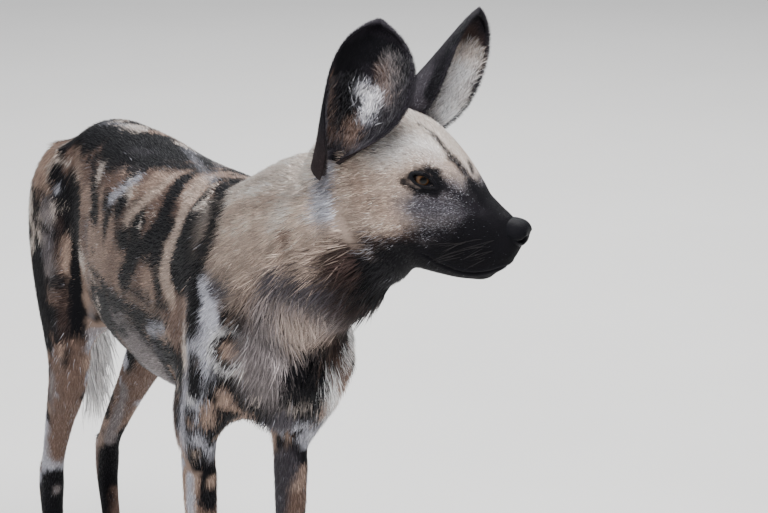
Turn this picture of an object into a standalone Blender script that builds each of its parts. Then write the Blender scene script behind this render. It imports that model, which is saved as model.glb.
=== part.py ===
"""African wild dog, a life-size still model: standing, with its head turned to its left.

Metres, +Z up. The dog faces -Y, its left side is +X, and at the end it is moved so that
the origin is on the ground under the middle of its bounding box. The body is made whole
from lofts, fused and smoothed, and then parted with thin cuts into head, neck, torso,
tail, legs and paws.
"""

import math
import random

import bmesh
import bpy
from mathutils import Matrix, Vector
from mathutils.bvhtree import BVHTree

# Driving dimensions
WITHERS_HEIGHT = 0.68
CHEST_HEIGHT = 0.396
CHEST_HALF_WIDTH = 0.096
SHOULDER_HALF_WIDTH = 0.099
WAIST_HALF_WIDTH = 0.071
CROUP_HEIGHT = 0.650
TAIL_ROOT = Vector((0.0, 0.530, 0.566))

# Head, placed by the tip of its nose
NOSE_TIP = Vector((0.18, -0.335, 0.676))
HEAD_TURN = math.radians(50)
HEAD_DROOP = math.radians(12)
HEAD_HALF_WIDTH = 0.069
HEAD = (
    Matrix.Translation(NOSE_TIP)
    @ Matrix.Rotation(HEAD_TURN, 4, "Z")
    @ Matrix.Rotation(HEAD_DROOP, 4, "X")
)
HEAD_INVERSE = HEAD.inverted()
# The cut between head and neck: a point on it and its normal, towards the neck
HEAD_CUT = (HEAD @ Vector((0, 0.188, 0)), HEAD.to_3x3() @ Vector((0, 0.85, -0.527)))
EYE_RADIUS = 0.0115
EYE_PLACE = Vector((0.0420, 0.1128, 0.0360))
EYE_OUTWARD = math.radians(63)
MOUTH_ANGLE = math.radians(78)
MOUTH_STEPS = 32
MOUTH_RADIUS = 0.0020

# Ears
EAR_LENGTH = {"right": 0.152, "left": 0.162}
EAR_HALF_ARC = 0.064
EAR_SLANT = 0.012
EAR_THICKNESS = 0.0036

# Joints of the legs, in the side view: (y, z), with x from the mid-line
FORE_X = {"right": 0.062, "left": 0.053}
FORE_Y = {"right": -0.014, "left": 0.012}
HIND_X = {"right": 0.074, "left": 0.033}
STIFLE_Y = {"right": 0.385, "left": 0.435}
HOCK_Y = {"right": 0.468, "left": 0.575}
STIFLE_HEIGHT = 0.385
HOCK_HEIGHT = {"right": 0.195, "left": 0.182}
CARPUS_HEIGHT = 0.150
ELBOW_HEIGHT = 0.385
PAW_HALF_WIDTH = 0.028
CLAW_LENGTH = 0.013
PAW_CUT_HEIGHT = 0.070

TAIL_LENGTH = 0.33

# Long hair: the tail's brush and the throat's ruff
BRUSH_CORE = 0.0200
BRUSH_LOCKS = 36
BRUSH_LENGTH = 0.088
BRUSH_WIDTH = 0.028
RUFF_AXIS = (Vector((0.066, -0.240, 0.688)), Vector((0.012, -0.130, 0.618)))
RUFF_SPREAD = math.radians(122)
RUFF_ROWS = 5
RUFF_LOCKS = 11
RUFF_LENGTH = 0.054
RUFF_WIDTH = 0.032
LOCK_THICKNESS = 0.0060
LOCK_SINK = 0.0050
# Share of the length, and width there as a share of the whole
LOCK_SHAPE = ((0, 0.80), (0.25, 1.0), (0.55, 0.98), (0.82, 0.66), (1.0, 0))
GOLDEN_ANGLE = math.radians(137.5)
CHANCE = random.Random(7)

# Making
VOXEL = 0.004
CREASE_FILL = 0.016
GAP = 0.0003
BODY_TRIANGLES = 4700
HEAD_COARSENESS = 0.3
PAW_COARSENESS = 0.5
RING_SIDES = 20

SIDES = {"right": -1, "left": 1}
# Colour and roughness of each kind of surface
LOOKS = {
    "face_coat": ((0.30, 0.24, 0.21, 1), 0.80),
    "neck_coat": ((0.45, 0.34, 0.25, 1), 0.85),
    "body_coat": ((0.28, 0.21, 0.16, 1), 0.85),
    "leg_coat": ((0.32, 0.27, 0.23, 1), 0.85),
    "paw_coat": ((0.10, 0.085, 0.075, 1), 0.80),
    "ear_coat": ((0.05, 0.042, 0.042, 1), 0.80),
    "tail_brush": ((0.70, 0.66, 0.61, 1), 0.85),
    "eye": ((0.10, 0.055, 0.02, 1), 0.05),
}


def clear_scene():
    for obj in list(bpy.data.objects):
        bpy.data.objects.remove(obj, do_unlink=True)


def make_collection(name):
    made = bpy.data.collections.new(name)
    bpy.context.scene.collection.children.link(made)
    return made


def make_material(name, colour, roughness):
    made = bpy.data.materials.new(name)
    made.use_nodes = True
    shader = made.node_tree.nodes["Principled BSDF"]
    shader.inputs["Base Color"].default_value = colour
    shader.inputs["Roughness"].default_value = roughness
    return made


def object_from(bm, name, collection):
    """The bmesh as a new object, with its faces pointing out."""
    bmesh.ops.recalc_face_normals(bm, faces=bm.faces)
    mesh = bpy.data.meshes.new(name)
    bm.to_mesh(mesh)
    bm.free()
    obj = bpy.data.objects.new(name, mesh)
    collection.objects.link(obj)
    return obj


def catmull(a, b, c, d, t):
    """The value at t from b to c, on a smooth curve through a, b, c and d."""
    return b + 0.5 * t * (
        c - a + t * (2 * a - 5 * b + 4 * c - d + t * (3 * (b - c) + d - a))
    )


def smooth_rows(rows, steps):
    """The rows with others between them, on a smooth curve."""
    ends = [rows[0]] + list(rows) + [rows[-1]]
    found = []
    for four in zip(ends, ends[1:], ends[2:], ends[3:]):
        for k in range(steps):
            found.append([catmull(*values, k / steps) for values in zip(*four)])
    found.append(list(rows[-1]))
    return found


def signed_power(value, power):
    return math.copysign(abs(value) ** power, value)


def loft(name, rows, collection, squareness=2.2, steps=3, turn=(0, 0), sides=RING_SIDES, flat=False):
    """A closed body through cross-sections.

    A row is (x, y, z, half width, thickness above, thickness below), from front to back
    or from top to bottom. On a leg, above means behind and below means in front.
    turn is how far the first and the last section are turned about Z. A flat one runs
    level, with its sections' widths upright.
    """
    rows = smooth_rows(rows, steps)
    centres = [Vector(row[:3]) for row in rows]
    bm = bmesh.new()
    rings = []
    for i, row in enumerate(rows):
        along = (centres[min(i + 1, len(rows) - 1)] - centres[max(i - 1, 0)]).normalized()
        yaw = turn[0] + (turn[1] - turn[0]) * i / (len(rows) - 1)
        side = Vector((0, 0, 1)) if flat else Vector((math.cos(yaw), math.sin(yaw), 0))
        side = (side - along * side.dot(along)).normalized()
        rise = side.cross(along)
        ring = []
        for k in range(sides):
            angle = 2 * math.pi * k / sides
            across = signed_power(math.cos(angle), 2 / squareness) * row[3]
            over = signed_power(math.sin(angle), 2 / squareness)
            over *= row[4] if over > 0 else row[5]
            ring.append(bm.verts.new(centres[i] + side * across + rise * over))
        rings.append(ring)
    for first, second in zip(rings, rings[1:]):
        for k in range(sides):
            j = (k + 1) % sides
            bm.faces.new((first[k], first[j], second[j], second[k]))
    bm.faces.new(rings[0])
    bm.faces.new(rings[-1])
    return object_from(bm, name, collection)


def ball(name, place, radii, collection, tilt=(0, 0, 0), cuts=16):
    """An ellipsoid, turned by tilt."""
    bm = bmesh.new()
    bmesh.ops.create_uvsphere(bm, u_segments=cuts, v_segments=cuts // 2, radius=1)
    turned = Matrix.Rotation(tilt[2], 4, "Z") @ Matrix.Rotation(tilt[1], 4, "Y")
    turned = turned @ Matrix.Rotation(tilt[0], 4, "X")
    placed = Matrix.Translation(place) @ turned @ Matrix.Diagonal((*radii, 1))
    bmesh.ops.transform(bm, matrix=placed, verts=bm.verts)
    return object_from(bm, name, collection)


def in_head(obj):
    """Moves an object from the head's own frame to its place."""
    obj.data.transform(HEAD)
    return obj


def make_torso(pieces):
    """Ribcage, loin and croup, from the breastbone back to the tail's root."""
    top = WITHERS_HEIGHT
    low = CHEST_HEIGHT
    croup = CROUP_HEIGHT
    wide = CHEST_HALF_WIDTH
    waist = WAIST_HALF_WIDTH
    # y, height of the back, height of the belly, half width
    stations = (
        (-0.158, top - 0.130, low + 0.104, 0.30 * wide),
        (-0.135, top - 0.078, low + 0.059, 0.58 * wide),
        (-0.085, top - 0.028, low + 0.024, 0.84 * wide),
        (-0.020, top - 0.006, low + 0.014, 0.93 * wide),
        (0.060, top - 0.010, low + 0.009, 0.97 * wide),
        (0.150, top - 0.018, low, wide),
        (0.230, top - 0.021, low - 0.002, 0.97 * wide),
        (0.310, top - 0.018, low + 0.002, 0.88 * wide),
        (0.380, top - 0.020, low + 0.017, 1.04 * waist),
        (0.440, croup, low + 0.036, waist),
        (0.500, croup - 0.042, low + 0.062, 0.88 * waist),
        (0.542, croup - 0.090, low + 0.098, 0.60 * waist),
    )
    rows = []
    for y, back, belly, half in stations:
        widest = belly + 0.48 * (back - belly)
        rows.append((0, y, widest, half, back - widest, widest - belly))
    loft("ribs_and_loin", rows, pieces, squareness=2.15)


def make_neck(pieces):
    """The neck, from the back of the head down into the chest, bending to the left."""
    rows = (
        (0.078, -0.266, 0.706, 0.042, 0.042, 0.052),
        (0.060, -0.240, 0.697, 0.058, 0.058, 0.086),
        (0.040, -0.205, 0.687, 0.067, 0.070, 0.101),
        (0.022, -0.160, 0.662, 0.073, 0.079, 0.104),
        (0.008, -0.110, 0.632, 0.078, 0.082, 0.110),
        (0.000, -0.050, 0.600, 0.086, 0.084, 0.124),
        (0.000, 0.010, 0.580, 0.086, 0.090, 0.118),
    )
    loft("neck_muscles", rows, pieces, turn=(0.75 * HEAD_TURN, 0))
    ball("breast", (0.004, -0.112, 0.500), (0.074, 0.050, 0.078), pieces)


def make_shoulder(side, pieces):
    """The shoulder blade and upper arm of one side, as they stand out on the chest."""
    sign = SIDES[side]
    wide = SHOULDER_HALF_WIDTH
    blade = (
        (sign * 0.026, 0.012, WITHERS_HEIGHT - 0.022, 0.016, 0.040, 0.034),
        (sign * 0.047, -0.012, 0.625, 0.028, 0.058, 0.050),
        (sign * 0.057, -0.040, 0.565, 0.034, 0.064, 0.056),
        (sign * 0.060, -0.068, 0.505, 0.033, 0.060, 0.050),
        (sign * 0.060, -0.078, 0.470, 0.030, 0.054, 0.040),
    )
    loft(f"shoulder_{side}", blade, pieces)
    x = FORE_X[side]
    y = FORE_Y[side]
    arm = (
        (sign * (wide - 0.038), -0.072, 0.505, 0.032, 0.052, 0.040),
        (sign * (wide - 0.035), -0.048 + 0.3 * y, 0.460, 0.031, 0.060, 0.044),
        (sign * (0.5 * wide + 0.5 * x - 0.012), -0.018 + 0.7 * y, 0.420, 0.027, 0.052, 0.042),
        (sign * (x + 0.004), -0.002 + y, ELBOW_HEIGHT, 0.023, 0.038, 0.038),
    )
    loft(f"upper_arm_{side}", arm, pieces)


def make_foreleg(side, pieces):
    """Forearm, wrist and pastern of one side."""
    sign = SIDES[side]
    x = FORE_X[side]
    y = FORE_Y[side]
    rows = (
        (sign * (x + 0.002), y + 0.002, ELBOW_HEIGHT + 0.012, 0.020, 0.032, 0.034),
        (sign * (x + 0.001), y - 0.002, ELBOW_HEIGHT - 0.030, 0.0210, 0.030, 0.034),
        (sign * x, y - 0.004, 0.300, 0.0190, 0.0270, 0.0290),
        (sign * (x - 0.002), y - 0.006, 0.235, 0.0165, 0.0200, 0.0220),
        (sign * (x - 0.003), y - 0.008, 0.180, 0.0155, 0.0170, 0.0180),
        (sign * (x - 0.003), y - 0.010, CARPUS_HEIGHT, 0.0178, 0.0178, 0.0188),
        (sign * (x - 0.003), y - 0.012, 0.120, 0.0165, 0.0170, 0.0160),
        (sign * (x - 0.002), y - 0.018, 0.080, 0.0165, 0.0155, 0.0150),
        (sign * (x - 0.001), y - 0.030, 0.045, 0.0190, 0.0190, 0.0170),
        (sign * (x - 0.001), y - 0.040, 0.026, 0.0200, 0.0200, 0.0200),
    )
    loft(f"forearm_{side}", rows, pieces)
    elbow = (sign * x, y + 0.030, ELBOW_HEIGHT - 0.016)
    ball(f"elbow_{side}", elbow, (0.014, 0.015, 0.026), pieces, tilt=(-0.4, 0, 0))
    pad = (sign * (x - 0.002), y + 0.012, CARPUS_HEIGHT - 0.016)
    ball(f"wrist_pad_{side}", pad, (0.008, 0.008, 0.010), pieces)
    make_paw(f"fore_{side}", paw_place(f"fore_paw_{side}"), pieces)


def make_hind_leg(side, pieces):
    """Thigh, lower thigh, hock and pastern of one side."""
    sign = SIDES[side]
    x = HIND_X[side]
    stifle = STIFLE_Y[side]
    hock = HOCK_Y[side]
    heel_height = HOCK_HEIGHT[side]
    lean = 0.35 * (stifle - STIFLE_Y["right"])
    reach = hock - stifle
    inward = HIND_X["right"] - x
    knee = 0.069 - 0.3 * inward
    thigh = (
        (sign * 0.036, 0.460, CROUP_HEIGHT - 0.046, 0.028, 0.042, 0.042),
        (sign * 0.049, 0.470 + 0.4 * lean, 0.560, 0.038, 0.070, 0.068),
        (sign * 0.055, 0.461 + lean, 0.510, 0.037, 0.092, 0.080),
        (sign * (0.060 - 0.1 * inward), 0.440 + 1.4 * lean, 0.458, 0.033, 0.088, 0.070),
        (sign * (0.066 - 0.2 * inward), 0.417 + 2.2 * lean, 0.415, 0.029, 0.070, 0.052),
        (sign * knee, stifle + 0.016, STIFLE_HEIGHT - 0.018, 0.026, 0.053, 0.037),
    )
    loft(f"thigh_{side}", thigh, pieces)
    middle = 0.5 * (STIFLE_HEIGHT + heel_height)
    shin = (
        (sign * knee, stifle + 0.016, STIFLE_HEIGHT - 0.008, 0.026, 0.052, 0.037),
        (sign * (0.5 * x + 0.034), stifle + 0.3 * reach, 0.335, 0.0235, 0.042, 0.031),
        (sign * (0.65 * x + 0.024), stifle + 0.6 * reach, middle, 0.0195, 0.0290, 0.0230),
        (sign * x, stifle + 0.88 * reach, heel_height + 0.037, 0.0150, 0.0240, 0.0170),
        (sign * x, hock, heel_height, 0.0165, 0.0260, 0.0190),
        (sign * x, hock + 0.002, heel_height - 0.030, 0.0150, 0.0180, 0.0170),
        (sign * x, hock - 0.008, 0.115, 0.0138, 0.0148, 0.0148),
        (sign * x, hock - 0.018, 0.075, 0.0145, 0.0145, 0.0145),
        (sign * x, hock - 0.030, 0.042, 0.0180, 0.0180, 0.0170),
        (sign * x, hock - 0.038, 0.026, 0.0190, 0.0190, 0.0190),
    )
    loft(f"shin_{side}", shin, pieces)
    heel = (sign * x, hock + 0.022, heel_height + 0.010)
    ball(f"heel_{side}", heel, (0.0105, 0.011, 0.022), pieces, tilt=(-0.25, 0, 0))
    make_paw(f"hind_{side}", paw_place(f"hind_paw_{side}"), pieces)


def paw_place(name):
    """Side, centre and scale of a paw, by the name of its node."""
    end, _, side = name.split("_")
    sign = SIDES[side]
    if end == "fore":
        return sign, FORE_X[side], FORE_Y[side] - 0.034, 1.0
    return sign, HIND_X[side], HOCK_Y[side] - 0.034, 0.95


def toe_places(place):
    """Centre and spread of each of a paw's four toes, from the inner to the outer."""
    sign, x, y, scale = place
    places = []
    for k in range(4):
        spread = (k - 1.5) / 1.5
        across = sign * (x + spread * 0.66 * PAW_HALF_WIDTH * scale)
        middle_toe = 1 - abs(spread)
        ahead = y - scale * (0.018 + 0.017 * middle_toe)
        places.append((Vector((across, ahead, 0.0115 * scale)), spread * sign))
    return places


def make_paw(name, place, pieces):
    """A paw of four arched toes before a heel pad. This species has no dewclaw."""
    sign, x, y, scale = place
    half = PAW_HALF_WIDTH * scale
    ball(f"{name}_instep", (sign * x, y + 0.006, 0.020), (0.80 * half, 0.030, 0.022), pieces)
    ball(f"{name}_pad", (sign * x, y + 0.012, 0.008), (0.72 * half, 0.022, 0.012), pieces)
    for k, (toe, spread) in enumerate(toe_places(place)):
        radii = (0.0088 * scale, 0.0235 * scale, 0.0148 * scale)
        ball(f"{name}_toe_{k}", toe, radii, pieces, tilt=(0.12, 0, 0.16 * spread))


def add_claws(paw):
    """Four blunt claws, each sunk in the front of its toe."""
    claws = make_collection("claws")
    place = paw_place(paw.name)
    scale = place[3]
    for toe, spread in toe_places(place):
        root = toe + Vector((0, -0.0165 * scale, 0.0020))
        ahead = Vector((-0.16 * spread, -1, -0.30)).normalized()
        rows = []
        for share, radius in ((0, 0.0030), (0.45, 0.0028), (0.8, 0.0018), (1.0, 0.0008)):
            centre = root + ahead * (share * CLAW_LENGTH) + Vector((0, 0, -0.0020 * share**2))
            rows.append((*centre, 0.8 * radius, radius, radius))
        loft("claw", rows, claws, squareness=2, steps=1, sides=8)
    combined(paw, claws, "UNION")
    for claw in list(claws.objects):
        bpy.data.objects.remove(claw, do_unlink=True)
    return keep_largest(paw)


def along_rows(rows, share):
    """The row at a share of the way along the rows."""
    place = share * (len(rows) - 1)
    k = min(int(place), len(rows) - 2)
    return [a + (place - k) * (b - a) for a, b in zip(rows[k], rows[k + 1])]


def add_lock(name, root, lie, out, size, style, collection):
    """A flat tapered lock of hair, its root sunk in the skin and its tip standing off.

    size is (length, width, thickness); style is (lift, curl), as shares of the length.
    """
    length, width, thickness = size
    lift, curl = style
    lie = (lie - out * lie.dot(out)).normalized()
    across = lie.cross(out)
    bm = bmesh.new()
    rings = []
    tip = None
    for share, spread in LOCK_SHAPE:
        rise = lift * length * share**1.5 - LOCK_SINK * (1 - share) ** 2
        centre = root + lie * (length * share) + out * rise + across * (curl * length * share**2)
        if spread == 0:
            tip = bm.verts.new(centre)
            continue
        half = 0.5 * spread * Vector((width, thickness))
        corners = ((half.x, 0), (0, half.y), (-half.x, 0), (0, -half.y))
        rings.append([bm.verts.new(centre + across * a + out * b) for a, b in corners])
    for first, second in zip(rings, rings[1:]):
        for k in range(4):
            j = (k + 1) % 4
            bm.faces.new((first[k], first[j], second[j], second[k]))
    for k in range(4):
        bm.faces.new((rings[-1][k], rings[-1][(k + 1) % 4], tip))
    bm.faces.new(rings[0])
    return object_from(bm, name, collection)


def with_locks(node, locks):
    """The node with all the locks of a collection joined to it."""
    combined(node, locks, "UNION")
    for obj in list(locks.objects):
        bpy.data.objects.remove(obj, do_unlink=True)
    return keep_largest(node)


def make_tail(torso, others, dog, cutters):
    """The tail hangs from the croup, a little to the left, and ends in a full brush."""
    x, y, z = TAIL_ROOT
    length = TAIL_LENGTH
    core = BRUSH_CORE
    rows = (
        (x, y - 0.030, z + 0.012, 0.020, 0.020, 0.020),
        (x, y + 0.010, z - 0.004, 0.018, 0.018, 0.018),
        (x + 0.002, y + 0.040, z - 0.10 * length, 0.016, 0.017, 0.016),
        (x + 0.007, y + 0.057, z - 0.26 * length, 0.016, 0.017, 0.016),
        (x + 0.014, y + 0.067, z - 0.43 * length, core, core, core),
        (x + 0.020, y + 0.073, z - 0.60 * length, core, core, core),
        (x + 0.024, y + 0.077, z - 0.74 * length, 0.75 * core, 0.75 * core, 0.75 * core),
        (x + 0.026, y + 0.078, z - 0.84 * length, 0.3 * core, 0.3 * core, 0.3 * core),
    )
    tail = loft("tail", rows, dog, squareness=2, sides=12)
    locks = make_collection("brush")
    for k in range(BRUSH_LOCKS):
        share = 0.30 + 0.64 * (k + 0.5) / BRUSH_LOCKS
        row = along_rows(rows, share)
        after = along_rows(rows, min(share + 0.05, 1))
        lie = (Vector(after[:3]) - Vector(row[:3])).normalized()
        turn = k * GOLDEN_ANGLE
        out = Vector((math.cos(turn), math.sin(turn), 0))
        out = (out - lie * out.dot(lie)).normalized()
        fullness = math.sin(math.pi * ramp(share, 0.05, 1.15)) ** 0.7
        size = (
            BRUSH_LENGTH * (0.62 + 0.38 * fullness) * CHANCE.uniform(0.9, 1.1),
            BRUSH_WIDTH * CHANCE.uniform(0.85, 1.15),
            LOCK_THICKNESS,
        )
        style = (0.05 + 0.17 * fullness * CHANCE.uniform(0.7, 1.3), CHANCE.uniform(-0.10, 0.10))
        root = Vector(row[:3]) + out * (0.85 * row[3])
        add_lock("brush_lock", root, lie, out, size, style, locks)
    with_locks(tail, locks)
    return cleared(tail, [torso, *others], cutters)


def add_ruff(neck, others, cutters):
    """The long hair of the throat, from behind the jaws down to the breast."""
    bm = bmesh.new()
    bm.from_mesh(neck.data)
    tree = BVHTree.FromBMesh(bm)
    bm.free()
    start, end = RUFF_AXIS
    axis = (end - start).normalized()
    aside = Vector((0, 0, 1)).cross(axis).normalized()
    under = axis.cross(aside)
    if under.z > 0:
        under = -under
    towards_head = -HEAD_CUT[1]
    locks = make_collection("ruff")
    for row in range(RUFF_ROWS):
        share = row / (RUFF_ROWS - 1)
        spread = RUFF_SPREAD * (1 - 0.35 * share)
        count = RUFF_LOCKS - row // 2
        for k in range(count):
            turn = spread * (2 * (k + 0.5) / count - 1 + CHANCE.uniform(-0.05, 0.05))
            way = under * math.cos(turn) + aside * math.sin(turn)
            middle = start.lerp(end, share + CHANCE.uniform(-0.03, 0.03))
            place, out = tree.ray_cast(middle, way)[:2]
            while place is None or out.dot(towards_head) > 0.9:
                middle += 0.010 * axis
                place, out = tree.ray_cast(middle, way)[:2]
            fullness = math.cos(0.8 * turn)
            size = (
                RUFF_LENGTH * (0.70 + 0.30 * fullness) * CHANCE.uniform(0.9, 1.1),
                RUFF_WIDTH * CHANCE.uniform(0.85, 1.15),
                LOCK_THICKNESS,
            )
            lift = 0.14 + (0.42 - 0.28 * share) * fullness**2 * CHANCE.uniform(0.8, 1.2)
            style = (lift, CHANCE.uniform(-0.12, 0.12))
            lie = axis + Vector((0, 0, -0.35))
            add_lock("ruff_lock", place, lie, out, size, style, locks)
    with_locks(neck, locks)
    return cleared(neck, others, cutters, distance=1.6 * GAP)


def cleared(node, others, cutters, distance=GAP):
    """The node with a thin gap cut between it and each of the others."""
    for other in others:
        taken = grown(other, distance, cutters)
        combined(node, taken, "DIFFERENCE")
        bpy.data.objects.remove(taken, do_unlink=True)
    return keep_largest(node)


def make_head_core(pieces):
    """Muzzle, jaw and skull, in the head's own frame: y runs back from the nose."""
    wide = HEAD_HALF_WIDTH
    # y, top, bottom, half width
    stations = (
        (0.004, 0.000, -0.016, 0.012),
        (0.013, 0.009, -0.029, 0.021),
        (0.024, 0.017, -0.045, 0.027),
        (0.037, 0.025, -0.058, 0.031),
        (0.053, 0.031, -0.067, 0.036),
        (0.072, 0.040, -0.070, 0.042),
        (0.090, 0.052, -0.071, 0.049),
        (0.110, 0.066, -0.070, 0.80 * wide),
        (0.135, 0.081, -0.066, 0.94 * wide),
        (0.162, 0.090, -0.058, wide),
        (0.190, 0.080, -0.048, 0.94 * wide),
        (0.215, 0.058, -0.036, 0.80 * wide),
        (0.235, 0.030, -0.020, 0.58 * wide),
    )
    rows = []
    for y, top, bottom, half in stations:
        middle = bottom + 0.45 * (top - bottom)
        rows.append((0, y, middle, half, top - middle, middle - bottom))
    in_head(loft("skull", rows, pieces, squareness=2.35))
    in_head(ball("nose_pad", (0, 0.0100, -0.006), (0.0180, 0.0115, 0.0130), pieces))
    in_head(ball("chin", (0, 0.040, -0.055), (0.017, 0.015, 0.010), pieces))
    for sign in SIDES.values():
        lip = (sign * 0.015, 0.030, -0.028)
        in_head(ball("lip", lip, (0.014, 0.018, 0.014), pieces))
        cheek = (sign * 0.041, 0.148, -0.014)
        in_head(ball("cheek", cheek, (0.026, 0.046, 0.040), pieces))
        brow = (sign * 0.034, 0.113, 0.051)
        in_head(ball("brow", brow, (0.019, 0.018, 0.010), pieces, tilt=(0.5, 0, 0)))
        lids = Vector((sign * EYE_PLACE.x, EYE_PLACE.y, EYE_PLACE.z))
        in_head(ball("lids", lids, (EYE_RADIUS + 0.0028,) * 3, pieces))


def ramp(value, low, high):
    """0 below low, 1 above high, and straight between."""
    return min(max((value - low) / (high - low), 0), 1)


def remeshed(obj):
    fuse = obj.modifiers.new("fuse", "REMESH")
    fuse.mode = "VOXEL"
    fuse.voxel_size = VOXEL
    bake(obj)


def weigh(obj, name, weight_at):
    """A vertex group whose weights come from a function of a vertex's place."""
    group = obj.vertex_groups.new(name=name)
    for vertex in obj.data.vertices:
        group.add([vertex.index], weight_at(vertex.co), "REPLACE")


def trunk_weight(place):
    """1 on the trunk and neck, 0 on the face and the lower legs."""
    off_face = ramp((HEAD_INVERSE @ place).y, 0.125, 0.195) if place.y < -0.10 else 1
    behind = ramp(place.y, 0.16, 0.30)
    low = STIFLE_HEIGHT - 0.02 - 0.08 * behind
    return off_face * ramp(place.z, low, low + 0.07)


def coarse_weight(place):
    """How freely the surface may be made coarser there."""
    on_head = (HEAD_INVERSE @ place).y < 0.205 and place.y < -0.10
    if place.z < 0.5 * PAW_CUT_HEIGHT:
        return PAW_COARSENESS
    return HEAD_COARSENESS if on_head else 1.0


def pushed(obj, distance):
    """Moves the trunk's surface out, or in where the distance is negative."""
    weigh(obj, "trunk", trunk_weight)
    push = obj.modifiers.new("push", "DISPLACE")
    push.strength = distance
    push.mid_level = 0
    push.vertex_group = "trunk"
    bake(obj)
    obj.vertex_groups.clear()


def fused(pieces, name, collection):
    """All the pieces as one skin, its creases filled, smoothed and made coarse again."""
    bm = bmesh.new()
    for obj in list(pieces.objects):
        bm.from_mesh(obj.data)
        bpy.data.objects.remove(obj, do_unlink=True)
    whole = object_from(bm, name, collection)
    remeshed(whole)
    pushed(whole, CREASE_FILL)
    remeshed(whole)
    pushed(whole, -CREASE_FILL)
    weigh(whole, "trunk", trunk_weight)
    weigh(whole, "coarse", coarse_weight)
    add_smoothing(whole, 5, "")
    add_smoothing(whole, 30, "trunk")
    bake(whole)
    thin = whole.modifiers.new("coarser", "DECIMATE")
    thin.ratio = BODY_TRIANGLES / (2 * len(whole.data.polygons))
    thin.vertex_group = "coarse"
    thin.vertex_group_factor = 0.003
    bake(whole)
    return whole


def add_smoothing(obj, times, group):
    smoothing = obj.modifiers.new("smooth", "SMOOTH")
    smoothing.factor = 0.5
    smoothing.iterations = times
    smoothing.vertex_group = group


def bake(obj):
    """Applies the object's modifiers."""
    graph = bpy.context.evaluated_depsgraph_get()
    made = bpy.data.meshes.new_from_object(obj.evaluated_get(graph))
    made.transform(obj.matrix_world)
    obj.modifiers.clear()
    obj.matrix_world = Matrix.Identity(4)
    obj.data = made


def combined(obj, other, operation, solver="EXACT"):
    """obj after a Boolean with another object, or with all of a collection."""
    step = obj.modifiers.new("cut", "BOOLEAN")
    step.operation = operation
    step.solver = solver
    if isinstance(other, bpy.types.Collection):
        step.operand_type = "COLLECTION"
        step.collection = other
    else:
        step.object = other
    bpy.context.view_layer.update()
    bake(obj)
    if not obj.data.polygons:
        raise ValueError(f"nothing is left of {obj.name} after {operation} with {other.name}")
    return obj


def reach_of(vertices):
    """The diagonal of the vertices' bounding box."""
    spans = [[v.co[axis] for v in vertices] for axis in range(3)]
    return math.dist([min(span) for span in spans], [max(span) for span in spans])


def keep_largest(obj):
    """Drops all but the largest closed surface of the object."""
    bm = bmesh.new()
    bm.from_mesh(obj.data)
    unseen = set(bm.verts)
    groups = []
    while unseen:
        group = {unseen.pop()}
        edge = list(group)
        while edge:
            vertex = edge.pop()
            for link in vertex.link_edges:
                other = link.other_vert(vertex)
                if other in unseen:
                    unseen.discard(other)
                    group.add(other)
                    edge.append(other)
        groups.append(group)
    largest = max(groups, key=reach_of)
    spare = [v for group in groups if group is not largest for v in group]
    bmesh.ops.delete(bm, geom=spare, context="VERTS")
    bm.to_mesh(obj.data)
    bm.free()
    return obj


def copy_of(obj, name, collection):
    made = bpy.data.objects.new(name, obj.data.copy())
    collection.objects.link(made)
    return made


def grown(obj, distance, collection):
    """A copy of the object with each point moved out along its normal."""
    made = copy_of(obj, obj.name + "_grown", collection)
    places = [v.co + v.normal * distance for v in made.data.vertices]
    for vertex, place in zip(made.data.vertices, places):
        vertex.co = place
    return made


def region(name, planes, grow, collection):
    """The space behind all of the planes, each a (point, outward normal), as a cutter."""
    bm = bmesh.new()
    centre = sum((Vector(point) for point, _ in planes), Vector()) / len(planes)
    bmesh.ops.create_cube(bm, size=2.4, matrix=Matrix.Translation(centre))
    for point, normal in planes:
        outward = Vector(normal).normalized()
        geometry = bm.verts[:] + bm.edges[:] + bm.faces[:]
        place = Vector(point) + outward * grow
        bmesh.ops.bisect_plane(
            bm, geom=geometry, plane_co=place, plane_no=outward, clear_outer=True
        )
        rim = [edge for edge in bm.edges if edge.is_boundary]
        bmesh.ops.holes_fill(bm, edges=rim, sides=0)
    cutter = object_from(bm, name, collection)
    cutter.hide_render = True
    cutter.display_type = "WIRE"
    return cutter


def parted(whole, name, planes, collection, cutters):
    """Cuts the region behind the planes off the whole, as a node of its own."""
    node = copy_of(whole, name, collection)
    inside = region(name + "_inside", planes, -GAP / 2, cutters)
    outside = region(name + "_outside", planes, GAP / 2, cutters)
    combined(node, inside, "INTERSECT")
    combined(whole, outside, "DIFFERENCE")
    keep_largest(node)
    for cutter in (inside, outside):
        bpy.data.objects.remove(cutter, do_unlink=True)
    return node


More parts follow.
